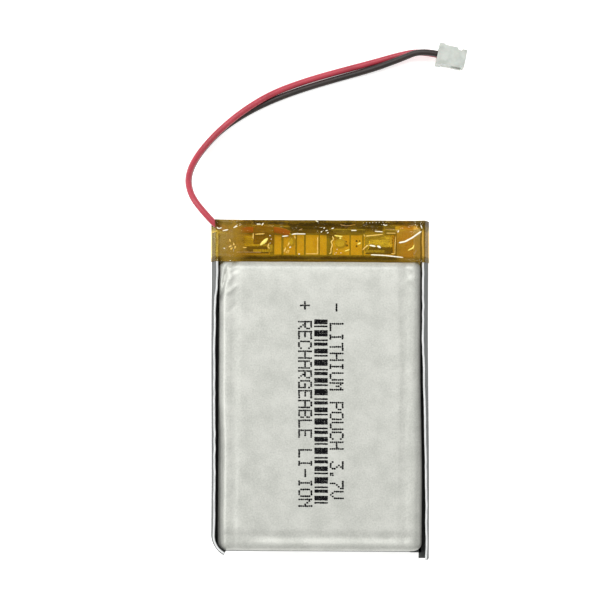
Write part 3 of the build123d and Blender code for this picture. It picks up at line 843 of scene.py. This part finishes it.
# ------------------------------------------------------------------------------------ camera, light
@dataclass
class Studio:
    """The plain floor, the soft light and the camera."""

    look_at: Point = (-3.12, 13.93, 10.0)
    field_width: float = 93.6
    distance: float = 420.0
    tilt: float = 1.2
    roll: float = 0.35
    floor_size: float = 1200.0

    def build_floor(self) -> None:
        """Lay the floor that the cell lies on."""
        bm = bmesh.new()
        bmesh.ops.create_grid(bm, x_segments=1, y_segments=1, size=self.floor_size / 2)
        floor = mesh_object("floor", bm)
        recipe = Recipe("pale_floor")
        white = (1.0, 1.0, 1.0, 1.0)
        recipe.surface(
            Base_Color=(0.94, 0.94, 0.94, 1.0), Roughness=0.9, Emission_Color=white, Emission_Strength=0.52
        )
        floor.data.materials.append(recipe.material)

    def build_camera(self) -> None:
        """Place the camera almost straight above, a little towards the folded end."""
        data = bpy.data.cameras.new("camera")
        data.angle = 2 * math.atan(self.field_width / 2 / self.distance)
        data.clip_start = 0.01
        camera = bpy.data.objects.new("camera", data)
        tilt = math.radians(self.tilt)
        turn = Matrix.Rotation(math.radians(self.roll), 3, "Z") @ Matrix.Rotation(tilt, 3, "X")
        away = turn @ Vector((0, 0, self.distance))
        camera.matrix_world = Matrix.Translation((Vector(self.look_at) + away) * MM) @ turn.to_4x4()
        bpy.context.scene.collection.objects.link(camera)
        bpy.context.scene.camera = camera

    def lamp(self, name: str, place_at: Point, size: float, watts: float) -> None:
        """Hang a square soft lamp that points at the cell."""
        data = bpy.data.lights.new(name, "AREA")
        data.shape = "SQUARE"
        data.size = size * MM
        data.energy = watts
        lamp = bpy.data.objects.new(name, data)
        where = Vector(place_at) * MM
        target = Vector(self.look_at) * MM
        turn = (where - target).to_track_quat("Z", "Y").to_matrix().to_4x4()
        lamp.matrix_world = Matrix.Translation(where) @ turn
        bpy.context.scene.collection.objects.link(lamp)

    def build_light(self) -> None:
        """Light the cell softly from above and from its left, with two weak lamps on its right."""
        self.lamp("key", (-200.0, 330.0, 480.0), 240.0, 1.5)
        self.lamp("edge", (-420.0, 60.0, 260.0), 120.0, 0.75)
        self.lamp("fill", (320.0, -120.0, 420.0), 320.0, 0.25)
        self.lamp("spark", (120.0, 160.0, 460.0), 40.0, 0.35)
        world = bpy.data.worlds.new("studio")
        world.use_nodes = True
        world.node_tree.nodes["Background"].inputs["Color"].default_value = (0.98, 0.985, 0.97, 1.0)
        world.node_tree.nodes["Background"].inputs["Strength"].default_value = 0.5
        bpy.context.scene.world = world

    def build(self) -> None:
        """Set up everything that isn't the cell."""
        self.build_camera()
        self.build_floor()
        self.build_light()
        bpy.context.scene.view_settings.view_transform = "Standard"


# ------------------------------------------------------------------------------------ print
GLYPHS: dict[str, str] = {
    "A": "01110 10001 10001 11111 10001 10001 10001",
    "B": "11110 10001 10001 11110 10001 10001 11110",
    "C": "01110 10001 10000 10000 10000 10001 01110",
    "E": "11111 10000 10000 11110 10000 10000 11111",
    "G": "01110 10001 10000 10111 10001 10001 01111",
    "H": "10001 10001 10001 11111 10001 10001 10001",
    "I": "01110 00100 00100 00100 00100 00100 01110",
    "L": "10000 10000 10000 10000 10000 10000 11111",
    "N": "10001 11001 10101 10011 10001 10001 10001",
    "M": "10001 11011 10101 10101 10001 10001 10001",
    "O": "01110 10001 10001 10001 10001 10001 01110",
    "P": "11110 10001 10001 11110 10000 10000 10000",
    "R": "11110 10001 10001 11110 10100 10010 10001",
    "T": "11111 00100 00100 00100 00100 00100 00100",
    "U": "10001 10001 10001 10001 10001 10001 01110",
    "V": "10001 10001 10001 10001 10001 01010 00100",
    "3": "11111 00010 00100 00010 00001 10001 01110",
    "7": "11111 00001 00010 00100 01000 01000 01000",
    ".": "00000 00000 00000 00000 00000 01100 01100",
    "+": "00000 00100 00100 11111 00100 00100 00000",
    "-": "00000 00000 00000 11111 00000 00000 00000",
    " ": "00000 00000 00000 00000 00000 00000 00000",
}


@dataclass
class InkMarks:
    """Dots of ink that a jet printer lays on the face: the poles, plain words and an even bar row."""

    pitch: float = 1.537
    dot_along: float = 0.262
    dot_across: float = 0.315
    dot: float = 0.15
    lift: float = 0.012
    columns: tuple[tuple[str, float, float], ...] = (
        ("+ RECHARGEABLE LI-ION", -2.34, 13.62),
        ("- LITHIUM POUCH 3.7V", 2.57, 13.32),
    )
    bars_x: float = 0.16
    bars_from: float = 10.8
    bars_to: float = -18.05
    bar_rows: int = 8
    bar_runs: tuple[int, ...] = (3, 1, 1, 2, 4, 2, 1, 1, 2, 2)
    slant: float = 0.0075
    seed: int = 3

    def text_dots(self) -> Iterable[tuple[float, float]]:
        """Yield the words' dots; the lines read downwards, with the letters' tops to the right."""
        for text, middle, start in self.columns:
            for place_at, letter in enumerate(text):
                for row, bits in enumerate(GLYPHS[letter].split()):
                    for column, bit in enumerate(bits):
                        if bit == "1":
                            y = start - place_at * self.pitch - column * self.dot_along
                            yield middle + (3 - row) * self.dot_across + self.slant * (start - y), y

    def bar_dots(self) -> Iterable[tuple[float, float]]:
        """Yield the dots of the bars, an even repeat that says nothing."""
        y = self.bars_from
        run = 0
        while y > self.bars_to:
            for _ in range(self.bar_runs[run % len(self.bar_runs)]):
                if run % 2 == 0:
                    middle = self.bars_x + self.slant * (self.bars_from - y)
                    for row in range(self.bar_rows):
                        yield middle + (row - (self.bar_rows - 1) / 2) * self.dot_across * 0.82, y
                y -= self.dot_along * 0.92
            run += 1

    def build(self, face: bpy.types.Object) -> bpy.types.Object:
        """Lay every dot on the face.

        Args:
            face: The finished front of the pouch.

        Returns:
            One piece with all the dots.
        """
        dice = random.Random(self.seed)
        bm = bmesh.new()
        for x, y in (*self.text_dots(), *self.bar_dots()):
            x += dice.uniform(-0.02, 0.02)
            y += dice.uniform(-0.018, 0.018)
            hit, spot, _, _ = face.ray_cast(Vector((x, y, RAY_HEIGHT)) * MM, Vector((0, 0, -1)))
            if not hit:
                continue
            size = self.dot * dice.uniform(0.92, 1.14)
            made = bmesh.ops.create_circle(bm, cap_ends=True, segments=8, radius=size)["verts"]
            bmesh.ops.scale(bm, vec=(1.12, 1.0, 1.0), verts=made)
            bmesh.ops.translate(bm, vec=(x, y, spot.z / MM + self.lift), verts=made)
        for step in bmesh.ops.extrude_face_region(bm, geom=bm.faces[:])["geom"]:
            if isinstance(step, bmesh.types.BMVert):
                step.co.z -= self.lift * 1.6
        bmesh.ops.recalc_face_normals(bm, faces=bm.faces)
        return mesh_object("ink_marks", bm, smooth=False)


# ------------------------------------------------------------------------------------ tape
@dataclass
class TapeWrap:
    """The amber film wrapped round the tab end, slack where nothing backs it."""

    front: float = 8.8
    back: float = 1.2
    crest: tuple[float, float] = (16.37, 9.615)
    side: tuple[float, float] = (17.24, 4.85)
    shelf_x: float = 13.47
    back_x: float = 14.6
    flat_from: float = 20.35
    lip: float = 19.95
    lip_front: float = 9.23
    end: float = 26.5
    around: int = 420
    along: int = 96
    film: float = 0.06
    board_far: float = 24.4
    tuck: float = 0.5
    notch: Point = (-16.2, 25.2, 6.1)
    notch_top: float = 8.7

    def outline(self, drop: float) -> list[tuple[float, float]]:
        """Return the wrap's corners across the cell, from the middle of its back round to it again."""
        right = [
            (0.0, drop),
            (self.back_x, drop),
            self.side,
            self.crest,
            (self.shelf_x, THICKNESS - drop),
            (0.0, THICKNESS - drop),
        ]
        return right + [(-x, z) for x, z in reversed(right[:-1])]

    def spot(self, share: float, drop: float) -> tuple[float, float]:
        """Return the place at a share of the way round the wrap.

        The share counts along the outline of the flat stretch, so that points line up along the cell.
        """
        guide = self.outline(THICKNESS - self.front)
        lengths = [math.dist(a, b) for a, b in zip(guide, guide[1:])]
        way = share * sum(lengths)
        corners = self.outline(drop)
        for index, length in enumerate(lengths):
            if way <= length or index == len(lengths) - 1:
                part = min(way / length, 1.0)
                (ax, az), (bx, bz) = corners[index], corners[index + 1]
                return ax + (bx - ax) * part, az + (bz - az) * part
            way -= length
        return corners[0]

    def crinkle(self, x: float, y: float, z: float) -> float:
        """Return how far the slack film stands in or out at a place."""
        faces = smoothstep(15.6, 14.4, abs(x)) + 0.12
        past_board = smoothstep(self.board_far - 0.1, self.board_far + 0.5, y)
        slack = (0.22 + 0.78 * past_board) * faces
        fold = 0.0
        for octave, (size, depth) in enumerate(((1.5, 0.2), (0.75, 0.1), (0.4, 0.04))):
            point = Vector((x * 0.4 / size, y / size, z / size + octave * 11.0))
            fold += depth * (1.0 - 2.0 * abs(noise.noise(point)) - 0.66)
        return fold * slack

    def in_notch(self, spot: Vector) -> bool:
        """Tell whether a place is in the notch at the left corner that the leads come out through."""
        x, y, low = self.notch
        return spot.x < x and spot.y > y and low < spot.z < self.notch_top

    def build(self) -> bpy.types.Object:
        """Build the wrap as one crinkled film."""
        bm = bmesh.new()
        bmesh.ops.create_grid(bm, x_segments=self.around, y_segments=self.along, size=0.5)
        for vert in bm.verts:
            share = vert.co.x + 0.5
            down = 0.5 - vert.co.y
            lip_y = self.lip + 0.1 * noise.noise(Vector((share * 26.0, 1.0, 0.0)))
            y = self.end - down * (self.end - lip_y)
            climb = smoothstep(self.flat_from, self.lip, y)
            drop = (THICKNESS - self.front) * (1 - climb) + (THICKNESS - self.lip_front) * climb
            x, z = self.spot(share, drop)
            vert.co = Vector((x, y, z))
        bmesh.ops.remove_doubles(bm, verts=bm.verts, dist=1e-4)
        for _ in range(2):
            bmesh.ops.smooth_vert(
                bm, verts=bm.verts, factor=0.5, use_axis_x=True, use_axis_y=False, use_axis_z=True
            )
        bmesh.ops.recalc_face_normals(bm, faces=bm.faces)
        bm.normal_update()
        for vert in bm.verts:
            at = vert.co
            held = smoothstep(self.lip, self.flat_from + 0.4, at.y)
            inward = -self.tuck * smoothstep(self.end - 0.9, self.end + 0.2, at.y) ** 1.6
            inward *= smoothstep(16.6, 15.4, abs(at.x))
            vert.co = at + vert.normal * (self.crinkle(at.x, at.y, at.z) * held + inward)
        notch = [face for face in bm.faces if self.in_notch(face.calc_center_median())]
        bmesh.ops.delete(bm, geom=notch, context="FACES")
        piece = mesh_object("tape_wrap", bm)
        wall = piece.modifiers.new("Film", "SOLIDIFY")
        wall.thickness = self.film * MM
        wall.offset = -1.0
        return piece


class Shine(Enum):
    """Which painted highlight a fold in the film gets, from a full painted glint down to a dull bronze line.
    """

    GLINT = 0
    YELLOW = 1
    GOLD = 2
    BRONZE = 3


@dataclass(frozen=True)
class Fold:
    """A small fold that stands up from the film: its width and the places it runs through."""

    shine: Shine
    width: float
    route: tuple[tuple[float, float], ...]

    def stations(self, step: float = 0.12) -> list[tuple[Vector, Vector, float]]:
        """Return places along the fold with their direction and their share of the full width."""
        corners = [Vector((x, y)) for x, y in self.route]
        runs = [(b - a).length for a, b in zip(corners, corners[1:])]
        whole = sum(runs)
        count = max(4, round(whole / step))
        found = []
        for index in range(count + 1):
            way = whole * index / count
            run = 0
            while run < len(runs) - 1 and way > runs[run]:
                way -= runs[run]
                run += 1
            start, end = corners[run], corners[run + 1]
            along = (end - start).normalized()
            edge = min(index, count - index) / count * whole
            taper = max(0.25, min(1.0, math.sqrt(edge / (self.width * 0.9 + 0.02))))
            found.append((start + along * way, along, taper))
        return found


@dataclass(frozen=True)
class FoldPatch:
    """A patch of film with short folds strewn over it."""

    shine: Shine
    count: int
    across: tuple[float, float]
    along: tuple[float, float]
    run: float
    width: float
    turn: tuple[float, float] = (0.0, 180.0)

    def folds(self, dice: random.Random) -> Iterable[Fold]:
        """Yield the patch's folds, each a short straight one."""
        for _ in range(self.count):
            x, y = dice.uniform(*self.across), dice.uniform(*self.along)
            turn = math.radians(dice.uniform(*self.turn))
            half = self.run * dice.uniform(0.35, 0.6)
            step_x, step_y = half * math.cos(turn), half * math.sin(turn)
            route = ((x - step_x, y - step_y), (x + step_x, y + step_y))
            yield Fold(self.shine, self.width * dice.uniform(0.75, 1.25), route)


# The long folds: first those at the wrap's left corner, then over the pads, then over the right strap.
FOLDS: tuple[Fold, ...] = (
    Fold(Shine.GLINT, 0.2, ((-16.2, 25.3), (-15.9, 25.0), (-15.4, 25.2))),
    Fold(Shine.GLINT, 0.2, ((-15.3, 24.7), (-14.4, 24.9))),
    Fold(Shine.GLINT, 0.2, ((-13.6, 25.2), (-13.0, 25.5))),
    Fold(Shine.GLINT, 0.5, ((-15.1, 22.0), (-14.9, 21.9))),
    Fold(Shine.BRONZE, 0.1, ((-14.0, 26.3), (-12.2, 26.3))),
    Fold(Shine.BRONZE, 0.12, ((-13.1, 21.4), (-9.2, 21.4))),
    Fold(Shine.GOLD, 0.2, ((-12.1, 22.1), (-11.5, 22.1))),
    Fold(Shine.GOLD, 0.2, ((-10.5, 24.4), (-10.5, 23.4))),
    Fold(Shine.GOLD, 0.2, ((-10.2, 24.2), (-8.7, 24.3))),
    Fold(Shine.GLINT, 0.2, ((-10.0, 25.8), (-9.3, 25.8))),
    Fold(Shine.GLINT, 0.25, ((-9.2, 25.6), (-8.9, 26.0))),
    Fold(Shine.YELLOW, 0.6, ((-9.4, 22.5), (-8.8, 23.0), (-8.2, 23.6))),
    Fold(Shine.GOLD, 0.2, ((-8.0, 22.8), (-8.2, 22.3), (-7.9, 21.9))),
    Fold(Shine.GLINT, 0.18, ((-6.0, 23.9), (-5.0, 24.0))),
    Fold(Shine.GLINT, 0.2, ((-4.5, 24.2), (-4.0, 24.3), (-2.3, 24.3))),
    Fold(Shine.GOLD, 0.2, ((-4.0, 24.0), (-3.9, 23.5))),
    Fold(Shine.GLINT, 0.4, ((-4.8, 22.1), (-4.6, 22.3))),
    Fold(Shine.GLINT, 0.4, ((-3.4, 21.1), (-3.2, 21.2))),
    Fold(Shine.BRONZE, 0.13, ((-3.4, 24.9), (-2.8, 25.1))),
    Fold(Shine.GOLD, 0.15, ((-2.3, 21.2), (-0.4, 21.2), (-0.4, 23.9))),
    Fold(Shine.GLINT, 0.2, ((-0.8, 26.4), (-0.3, 26.2))),
    Fold(
        Shine.GOLD,
        0.2,
        ((1.9, 24.0), (2.1, 23.5), (1.7, 23.1), (1.9, 22.6), (1.7, 22.0), (1.7, 21.4), (1.4, 21.2)),
    ),
    Fold(Shine.YELLOW, 0.22, ((2.2, 24.1), (3.5, 23.9))),
    Fold(Shine.YELLOW, 0.45, ((3.0, 23.7), (3.3, 23.6))),
    Fold(Shine.YELLOW, 0.2, ((3.8, 21.6), (4.6, 21.9))),
    Fold(Shine.BRONZE, 0.13, ((3.1, 25.8), (4.0, 25.6), (5.5, 25.8))),
    Fold(Shine.GLINT, 0.18, ((4.8, 24.9), (5.7, 24.9))),
    Fold(Shine.YELLOW, 0.3, ((5.8, 22.7), (6.4, 23.0))),
    Fold(Shine.GOLD, 0.2, ((6.6, 21.8), (7.1, 22.3), (7.6, 22.7))),
    Fold(Shine.GOLD, 0.2, ((6.8, 24.3), (7.0, 23.9))),
    Fold(Shine.GOLD, 0.2, ((7.1, 24.0), (9.8, 24.3))),
    Fold(Shine.GLINT, 0.25, ((7.7, 22.6), (8.7, 22.4))),
    Fold(Shine.GLINT, 0.45, ((8.9, 22.5), (9.5, 22.2))),
    Fold(Shine.GLINT, 0.16, ((8.5, 24.8), (9.8, 24.7))),
    Fold(Shine.GLINT, 0.16, ((9.8, 25.9), (10.1, 25.7), (10.5, 25.8))),
    Fold(Shine.GOLD, 0.13, ((10.3, 24.5), (11.8, 24.5))),
    Fold(Shine.BRONZE, 0.13, ((10.3, 25.1), (11.7, 25.1))),
    Fold(Shine.GOLD, 0.12, ((11.8, 24.0), (11.7, 22.4), (11.7, 21.3), (11.1, 21.3))),
    Fold(Shine.GLINT, 0.28, ((12.3, 25.0), (12.1, 24.6))),
    Fold(Shine.GLINT, 0.22, ((7.9, 21.1), (10.2, 21.0), (13.0, 20.7))),
    Fold(Shine.GLINT, 0.28, ((12.3, 23.0), (13.3, 23.2), (14.4, 23.8), (15.8, 24.8))),
    Fold(Shine.YELLOW, 0.25, ((13.7, 21.8), (14.5, 22.2), (14.7, 22.7))),
    Fold(Shine.BRONZE, 0.18, ((14.6, 21.1), (15.1, 21.9))),
    Fold(Shine.GLINT, 0.15, ((15.7, 25.8), (15.9, 25.2))),
)
PATCHES: tuple[FoldPatch, ...] = (
    FoldPatch(Shine.GOLD, 6, (-14.2, -12.7), (21.9, 23.2), 0.5, 0.3, (20.0, 110.0)),
    FoldPatch(Shine.GLINT, 3, (-8.1, -7.3), (22.5, 24.0), 0.15, 0.28),
    FoldPatch(Shine.GOLD, 5, (-5.6, -4.0), (21.4, 22.9), 0.6, 0.22, (50.0, 80.0)),
    FoldPatch(Shine.GLINT, 5, (-0.3, 2.0), (24.4, 25.4), 0.4, 0.22, (0.0, 60.0)),
    FoldPatch(Shine.GLINT, 4, (2.2, 3.4), (21.0, 23.0), 0.12, 0.28),
    FoldPatch(Shine.GLINT, 4, (14.8, 15.8), (25.7, 26.3), 0.12, 0.25),
)


@dataclass
class FilmFolds:
    """The folds, glints and blisters of the film, as thin raised ridges coloured with painted highlights."""

    rise: float = 0.5
    around: int = 8
    seed: int = 11
    row: tuple[float, float] = (6.7, 11.2)
    row_y: tuple[float, float] = (26.1, 26.25)
    row_step: float = 0.5

    def far_row(self, dice: random.Random) -> Iterable[Fold]:
        """Yield the row of small painted glints along the wrap's far edge."""
        low, high = self.row
        count = round((high - low) / self.row_step)
        for index in range(count):
            x = low + index * self.row_step + dice.uniform(-0.06, 0.06)
            y = self.row_y[0] + (self.row_y[1] - self.row_y[0]) * index / count
            yield Fold(Shine.GLINT, dice.uniform(0.26, 0.36), ((x, y), (x + 0.1, y + 0.01)))

    def ridge(self, bm: bmesh.types.BMesh, fold: Fold, tape: bpy.types.Object, dice: random.Random) -> None:
        """Add one fold, half sunk in the film under it."""
        rings = []
        for spot, along, taper in fold.stations():
            side = Vector((-along.y, along.x))
            hit, found, _, _ = tape.ray_cast(Vector((spot.x, spot.y, RAY_HEIGHT)) * MM, Vector((0, 0, -1)))
            if not hit:
                continue
            half = fold.width / 2 * taper * dice.uniform(0.8, 1.08)
            ring = []
            for step in range(self.around):
                turn = 2 * math.pi * step / self.around
                across = side * (half * math.cos(turn))
                up = half * self.rise * math.sin(turn)
                ring.append(bm.verts.new((spot.x + across.x, spot.y + across.y, found.z / MM + 0.02 + up)))
            rings.append(ring)
        if len(rings) < 2:
            return
        index = fold.shine.value
        for first, second in zip(rings, rings[1:]):
            for step in range(self.around):
                after = (step + 1) % self.around
                face = bm.faces.new((first[step], first[after], second[after], second[step]))
                face.material_index = index
        for ring in (rings[0], rings[-1]):
            bm.faces.new(ring).material_index = index

    def build(self, tape: bpy.types.Object) -> bpy.types.Object:
        """Build every fold on the finished tape."""
        dice = random.Random(self.seed)
        bm = bmesh.new()
        strewn = [fold for patch in PATCHES for fold in patch.folds(dice)]
        for fold in (*FOLDS, *self.far_row(dice), *strewn):
            self.ridge(bm, fold, tape, dice)
        bmesh.ops.recalc_face_normals(bm, faces=bm.faces)
        return mesh_object("film_folds", bm)


# ------------------------------------------------------------------------------------ board
@dataclass
class FoldedStrap:
    """A strap over a pad, folded into a low roof whose slope towards the cell is painted dark, as painted
    shade.
    """

    name: str
    span: tuple[float, float]
    inset: tuple[float, float]
    near: float = 21.25
    ridge: float = 22.35
    far: float = 24.1
    low: float = 7.31
    high: float = 7.62
    gauge: float = 0.06

    def build(self) -> bpy.types.Object:
        """Build the strap as a closed roof."""
        x0, x1 = self.span
        left, right = self.inset
        bm = bmesh.new()
        top = [
            (x0, self.near, self.low + 0.06),
            (x1, self.near, self.low + 0.06),
            (x1 - right, self.ridge, self.high),
            (x1 - right, self.far, self.low + 0.16),
            (x0 + left, self.far, self.low + 0.16),
            (x0 + left, self.ridge, self.high),
            (x0, self.far, self.low + 0.05),
            (x1, self.far, self.low + 0.05),
        ]
        v = [bm.verts.new(place_at) for place_at in top]
        faces = [
            bm.faces.new((v[0], v[1], v[2], v[5])),
            bm.faces.new((v[5], v[2], v[3], v[4])),
            bm.faces.new((v[1], v[7], v[3], v[2])),
            bm.faces.new((v[0], v[5], v[4], v[6])),
        ]
        # The slope towards the cell takes painted shade.
        faces[0].material_index = 1
        bmesh.ops.recalc_face_normals(bm, faces=bm.faces)
        piece = mesh_object(self.name, bm, smooth=False)
        sheet = piece.modifiers.new("Sheet", "SOLIDIFY")
        sheet.thickness = self.gauge * MM
        sheet.offset = -1.0
        bevel = piece.modifiers.new("Edges", "BEVEL")
        bevel.width = 0.02 * MM
        bevel.segments = 2
        return piece


@dataclass
class BoardDetail:
    """Plated holes through the pads, drawn as discs of painted shade."""

    holes: tuple[tuple[float, float, float], ...] = (
        (3.6, 23.2, 0.17),
        (4.2, 22.6, 0.17),
        (3.6, 22.5, 0.12),
        (4.1, 23.2, 0.11),
        (5.7, 23.3, 0.17),
        (6.2, 23.3, 0.12),
        (5.7, 22.5, 0.15),
    )
    pad_z: float = 7.29

    def build(self) -> bpy.types.Object:
        """Build the holes as shallow discs on the pads, painted dark as the shade in their wells."""
        bm = bmesh.new()
        for x, y, radius in self.holes:
            made = bmesh.ops.create_cone(
                bm, cap_ends=True, segments=20, radius1=radius, radius2=radius * 0.94, depth=0.05
            )["verts"]
            bmesh.ops.translate(bm, vec=(x, y, self.pad_z), verts=made)
        return mesh_object("pad_holes", bm)


# ------------------------------------------------------------------------------------ leads
@dataclass
class Lead:
    """One insulated wire: a stretch held under the tape and a free stretch to the plug."""

    name: str
    finish: str
    slot: str
    free: tuple[Point, ...]
    held: tuple[Point, ...]
    length: float
    diameter: float = 1.0

    def curve(self, name: str, points: Sequence[Point]) -> bpy.types.Object:
        """Make a smooth round wire that follows the points."""
        data = bpy.data.curves.new(name, "CURVE")
        data.dimensions = "3D"
        spline = data.splines.new("NURBS")
        spline.points.add(len(points) - 1)
        for point, spot in zip(spline.points, points):
            point.co = (*(value * MM for value in spot), 1.0)
        spline.order_u = 3
        spline.use_endpoint_u = True
        spline.resolution_u = 12
        data.bevel_depth = self.diameter / 2 * MM
        data.bevel_resolution = 6
        data.use_fill_caps = True
        piece = bpy.data.objects.new(name, data)
        bpy.context.scene.collection.objects.link(piece)
        return piece

    def build(self, shop: Workshop, on_end: Sequence[object]) -> None:
        """Args:
            shop: Where the finish comes from.
            on_end: The pieces at the lead's far end; not used.
        """
        held = self.curve(f"{self.name}_under_tape", self.held)
        shop.dress(held, self.finish)
        place(held, self.slot, (f"{self.name}_held",))
        free = self.curve(f"{self.name}_free", self.free)
        shop.dress(free, self.finish)
        place(free, self.slot, (self.name,))
        [value * MM for value in self.free[0]]


RED_LEAD = Lead(
    name="red_lead",
    finish="red_pvc",
    slot="red_insulation",
    free=(
        (-17.2, 26.5, 7.9),
        (-18.9, 28.3, 7.78),
        (-20.45, 30.55, 6.75),
        (-21.0, 33.0, 5.0),
        (-20.4, 35.5, 3.1),
        (-18.8, 38.1, 1.95),
        (-16.1, 41.1, 1.6),
        (-12.3, 44.3, 1.52),
        (-7.8, 47.1, 0.97),
        (-2.6, 49.1, 0.54),
        (2.9, 50.7, 0.52),
        (8.2, 52.1, 0.54),
        (12.6, 53.35, 0.95),
        (15.85, 53.9, 1.5),
        (18.5, 53.35, 1.5),
    ),
    held=(
        (-4.85, 24.3, 8.04),
        (-6.3, 25.0, 8.04),
        (-9.4, 24.92, 8.04),
        (-12.6, 24.94, 8.04),
        (-14.69, 25.0, 8.03),
        (-15.66, 25.26, 8.01),
        (-16.51, 25.77, 7.96),
        (-17.2, 26.5, 7.9),
    ),
    length=56.3,
)
BLACK_LEAD = Lead(
    name="black_lead",
    finish="black_pvc",
    slot="black_insulation",
    free=(
        (-17.2, 26.5, 6.84),
        (-18.9, 28.3, 6.72),
        (-20.45, 30.55, 5.53),
        (-21.0, 33.0, 3.66),
        (-20.4, 35.5, 1.77),
        (-18.8, 38.1, 0.79),
        (-16.1, 41.1, 0.54),
        (-12.0, 43.95, 0.52),
        (-7.27, 46.25, 0.52),
        (-2.21, 48.08, 0.53),
        (3.2, 49.67, 0.52),
        (8.45, 51.12, 0.89),
        (12.75, 52.65, 1.8),
        (15.85, 53.9, 2.75),
        (18.5, 53.35, 2.75),
    ),
    held=(
        (2.3, 24.1, 7.9),
        (1.0, 24.9, 7.74),
        (-1.2, 25.0, 6.94),
        (-3.6, 25.02, 6.64),
        (-8.4, 25.0, 6.64),
        (-12.8, 25.02, 6.67),
        (-14.69, 25.0, 6.79),
        (-15.66, 25.26, 6.89),
        (-16.51, 25.77, 6.93),
        (-17.2, 26.5, 6.84),
    ),
    length=56.1,
)


# ------------------------------------------------------------------------------------ the whole cell
NODE_FINISHES: dict[str, str] = {
    "positive_electrode": "cathode",
    "negative_electrode": "anode",
    "inner_separator": "separator",
    "outer_separator": "separator",
    "roll_end_tape": "roll_tape",
    "positive_tab": "aluminium",
    "negative_tab": "nickel",
    "positive_tab_sealant": "sealant",
    "negative_tab_sealant": "sealant",
    "terrace_paper": "paper",
    "circuit_board": "board",
    "board_pads": "gold",
    "protection_ic": "chip",
    "mosfet_pair": "chip",
    "chip_resistors": "resistor",
    "chip_capacitor": "capacitor",
    "protection_ic_leads": "tin",
    "mosfet_leads": "tin",
    "resistor_terminals": "tin",
    "capacitor_terminals": "tin",
    "red_solder": "solder",
    "black_solder": "solder",
    "red_lead_core": "tin",
    "black_lead_core": "tin",
    "polyimide_end_wrap": "end_film",
    "wire_holding_tape": "strip_film",
    "plug_housing": "nylon",
    "red_contact": "tin",
    "black_contact": "tin",
}

FRONT_CREASES = [
    Crease((-14.54, 19.3), (-15.2, 15.5), -0.5, 0.26),
    Crease((-15.15, 15.9), (-15.75, 13.6), -0.42, 0.26),
    Crease((-14.75, 19.0), (-12.9, 19.9), -0.4, 0.28),
    Crease((-12.8, 18.9), (-13.95, 17.8), -0.22, 0.24),
    Crease((-14.4, 16.4), (-13.0, 18.9), 0.2, 0.28),
    Crease((-14.6, 14.7), (-12.95, 16.25), 0.17, 0.28),
    Crease((-14.8, 17.6), (-14.5, 18.9), -0.22, 0.22),
    Crease((-14.6, 11.6), (-13.0, 13.4), -0.08, 0.35),
    Crease((14.6, 17.6), (13.2, 18.9), -0.12, 0.40),
    Crease((14.9, 14.9), (13.9, 16.9), -0.07, 0.35),
]


class PouchCell:
    """The whole cell, built sub-assembly by sub-assembly."""

    def __init__(self) -> None:
        """Open the workshop that makes the finishes."""
        self.shop = Workshop()

    def build_pouch(self) -> None:
        """Build the two cups, the seals and the print."""
        front = PouchCup(Side.FRONT, creases=list(FRONT_CREASES))
        back = PouchCup(Side.BACK, seed=21, settle=0.12)
        for cup, node, slot in (
            (front, "pouch_front_cup", "laminate"),
            (back, "pouch_back_cup", "laminate_back"),
        ):
            cup.add_scuffs(26)
            piece = cup.build()
            self.shop.dress(piece, "laminate")
            place(piece, slot, (node,))
            if cup is front:
                marks = InkMarks().build(piece)
                self.shop.dress(marks, "ink")
                place(marks, slot)
        for seal_shape in (
            SideSeal(Hand.RIGHT, near=25.3, flare=0.3, stands_from=(-24.0, 20.0)),
            SideSeal(Hand.LEFT, near=24.5, far=-27.0, flare=-0.2, stands_from=(6.0, 20.0)),
        ):
            seal = seal_shape.build()
            self.shop.dress(seal, "seal_foil_painted_shade", "seal_edge")
            place(seal, "laminate")

    def build_terrace(self) -> None:
        """Build the flat seal behind the cup, the roots of the two ears and the folded end's ridge."""
        bm = bmesh.new()
        for width, length, x, y, bevel, segments in (
            (31.6, 7.0, 0.0, 21.8, 0.05, 2),
            (2.3, 2.25, 15.55, -24.5, 0.05, 2),
            (1.9, 1.8, -15.1, -24.3, 0.05, 2),
            (29.8, 0.7, 0.0, -25.2, 0.1, 3),
        ):
            add_block(bm, (width, length, SEAL_FOIL), (x, y, THICKNESS / 2), bevel, segments)
        # Faces below Y 0, the ears' roots and the folded end's ridge, take the dark seal foil as painted
        # shade.
        for face in bm.faces:
            face.material_index = int(face.calc_center_median().y < 0)
        piece = mesh_object("terrace_seal", bm)
        # The rest of the terrace takes the foil painted lighter, as painted light under the tape.
        self.shop.dress(piece, "terrace_foil_painted_light", "seal_foil_painted_shade")
        place(piece, "laminate")

    def build_tape(self) -> None:
        """Build the wrap and its folds."""
        wrap = TapeWrap().build()
        self.shop.dress(wrap, "film")
        place(wrap, "polyimide_film", ("polyimide_wrap",))
        folds = FilmFolds().build(wrap)
        self.shop.dress(folds, "fold_glint", "painted_yellow_glint", "painted_gold_glint", "painted_dim_bronze_glint")
        place(folds, "polyimide_film")

    def build_board(self) -> None:
        """Build what sits on the board's upper side."""
        for name, span, inset in (
            ("positive_strap", (-13.05, -8.05), (1.2, 0.3)),
            ("negative_strap", (7.0, 11.45), (0.75, 0.1)),
        ):
            strap = FoldedStrap(f"{name}_folded", span, inset).build()
            self.shop.dress(strap, "nickel", "shade")
            place(strap, "nickel_strap", (name,))
        holes = BoardDetail().build()
        self.shop.dress(holes, "shade")
        place(holes, "board_laminate")

    def build(self) -> None:
        """Build every sub-assembly in order."""
        nodes = frame["nodes"]
        RED_LEAD.build(self.shop, [nodes["plug_housing"], nodes["red_contact"]])
        BLACK_LEAD.build(self.shop, [nodes["black_contact"]])
        self.build_pouch()
        self.build_terrace()
        self.build_board()
        self.build_tape()
        for node, finish in NODE_FINISHES.items():
            self.shop.dress_node(node, finish)


def main() -> None:
    """Build the studio and the cell."""
    logging.basicConfig(level=logging.INFO, format="%(name)s: %(message)s")
    Studio().build()
    PouchCell().build()


if __name__ == "__main__":
    main()
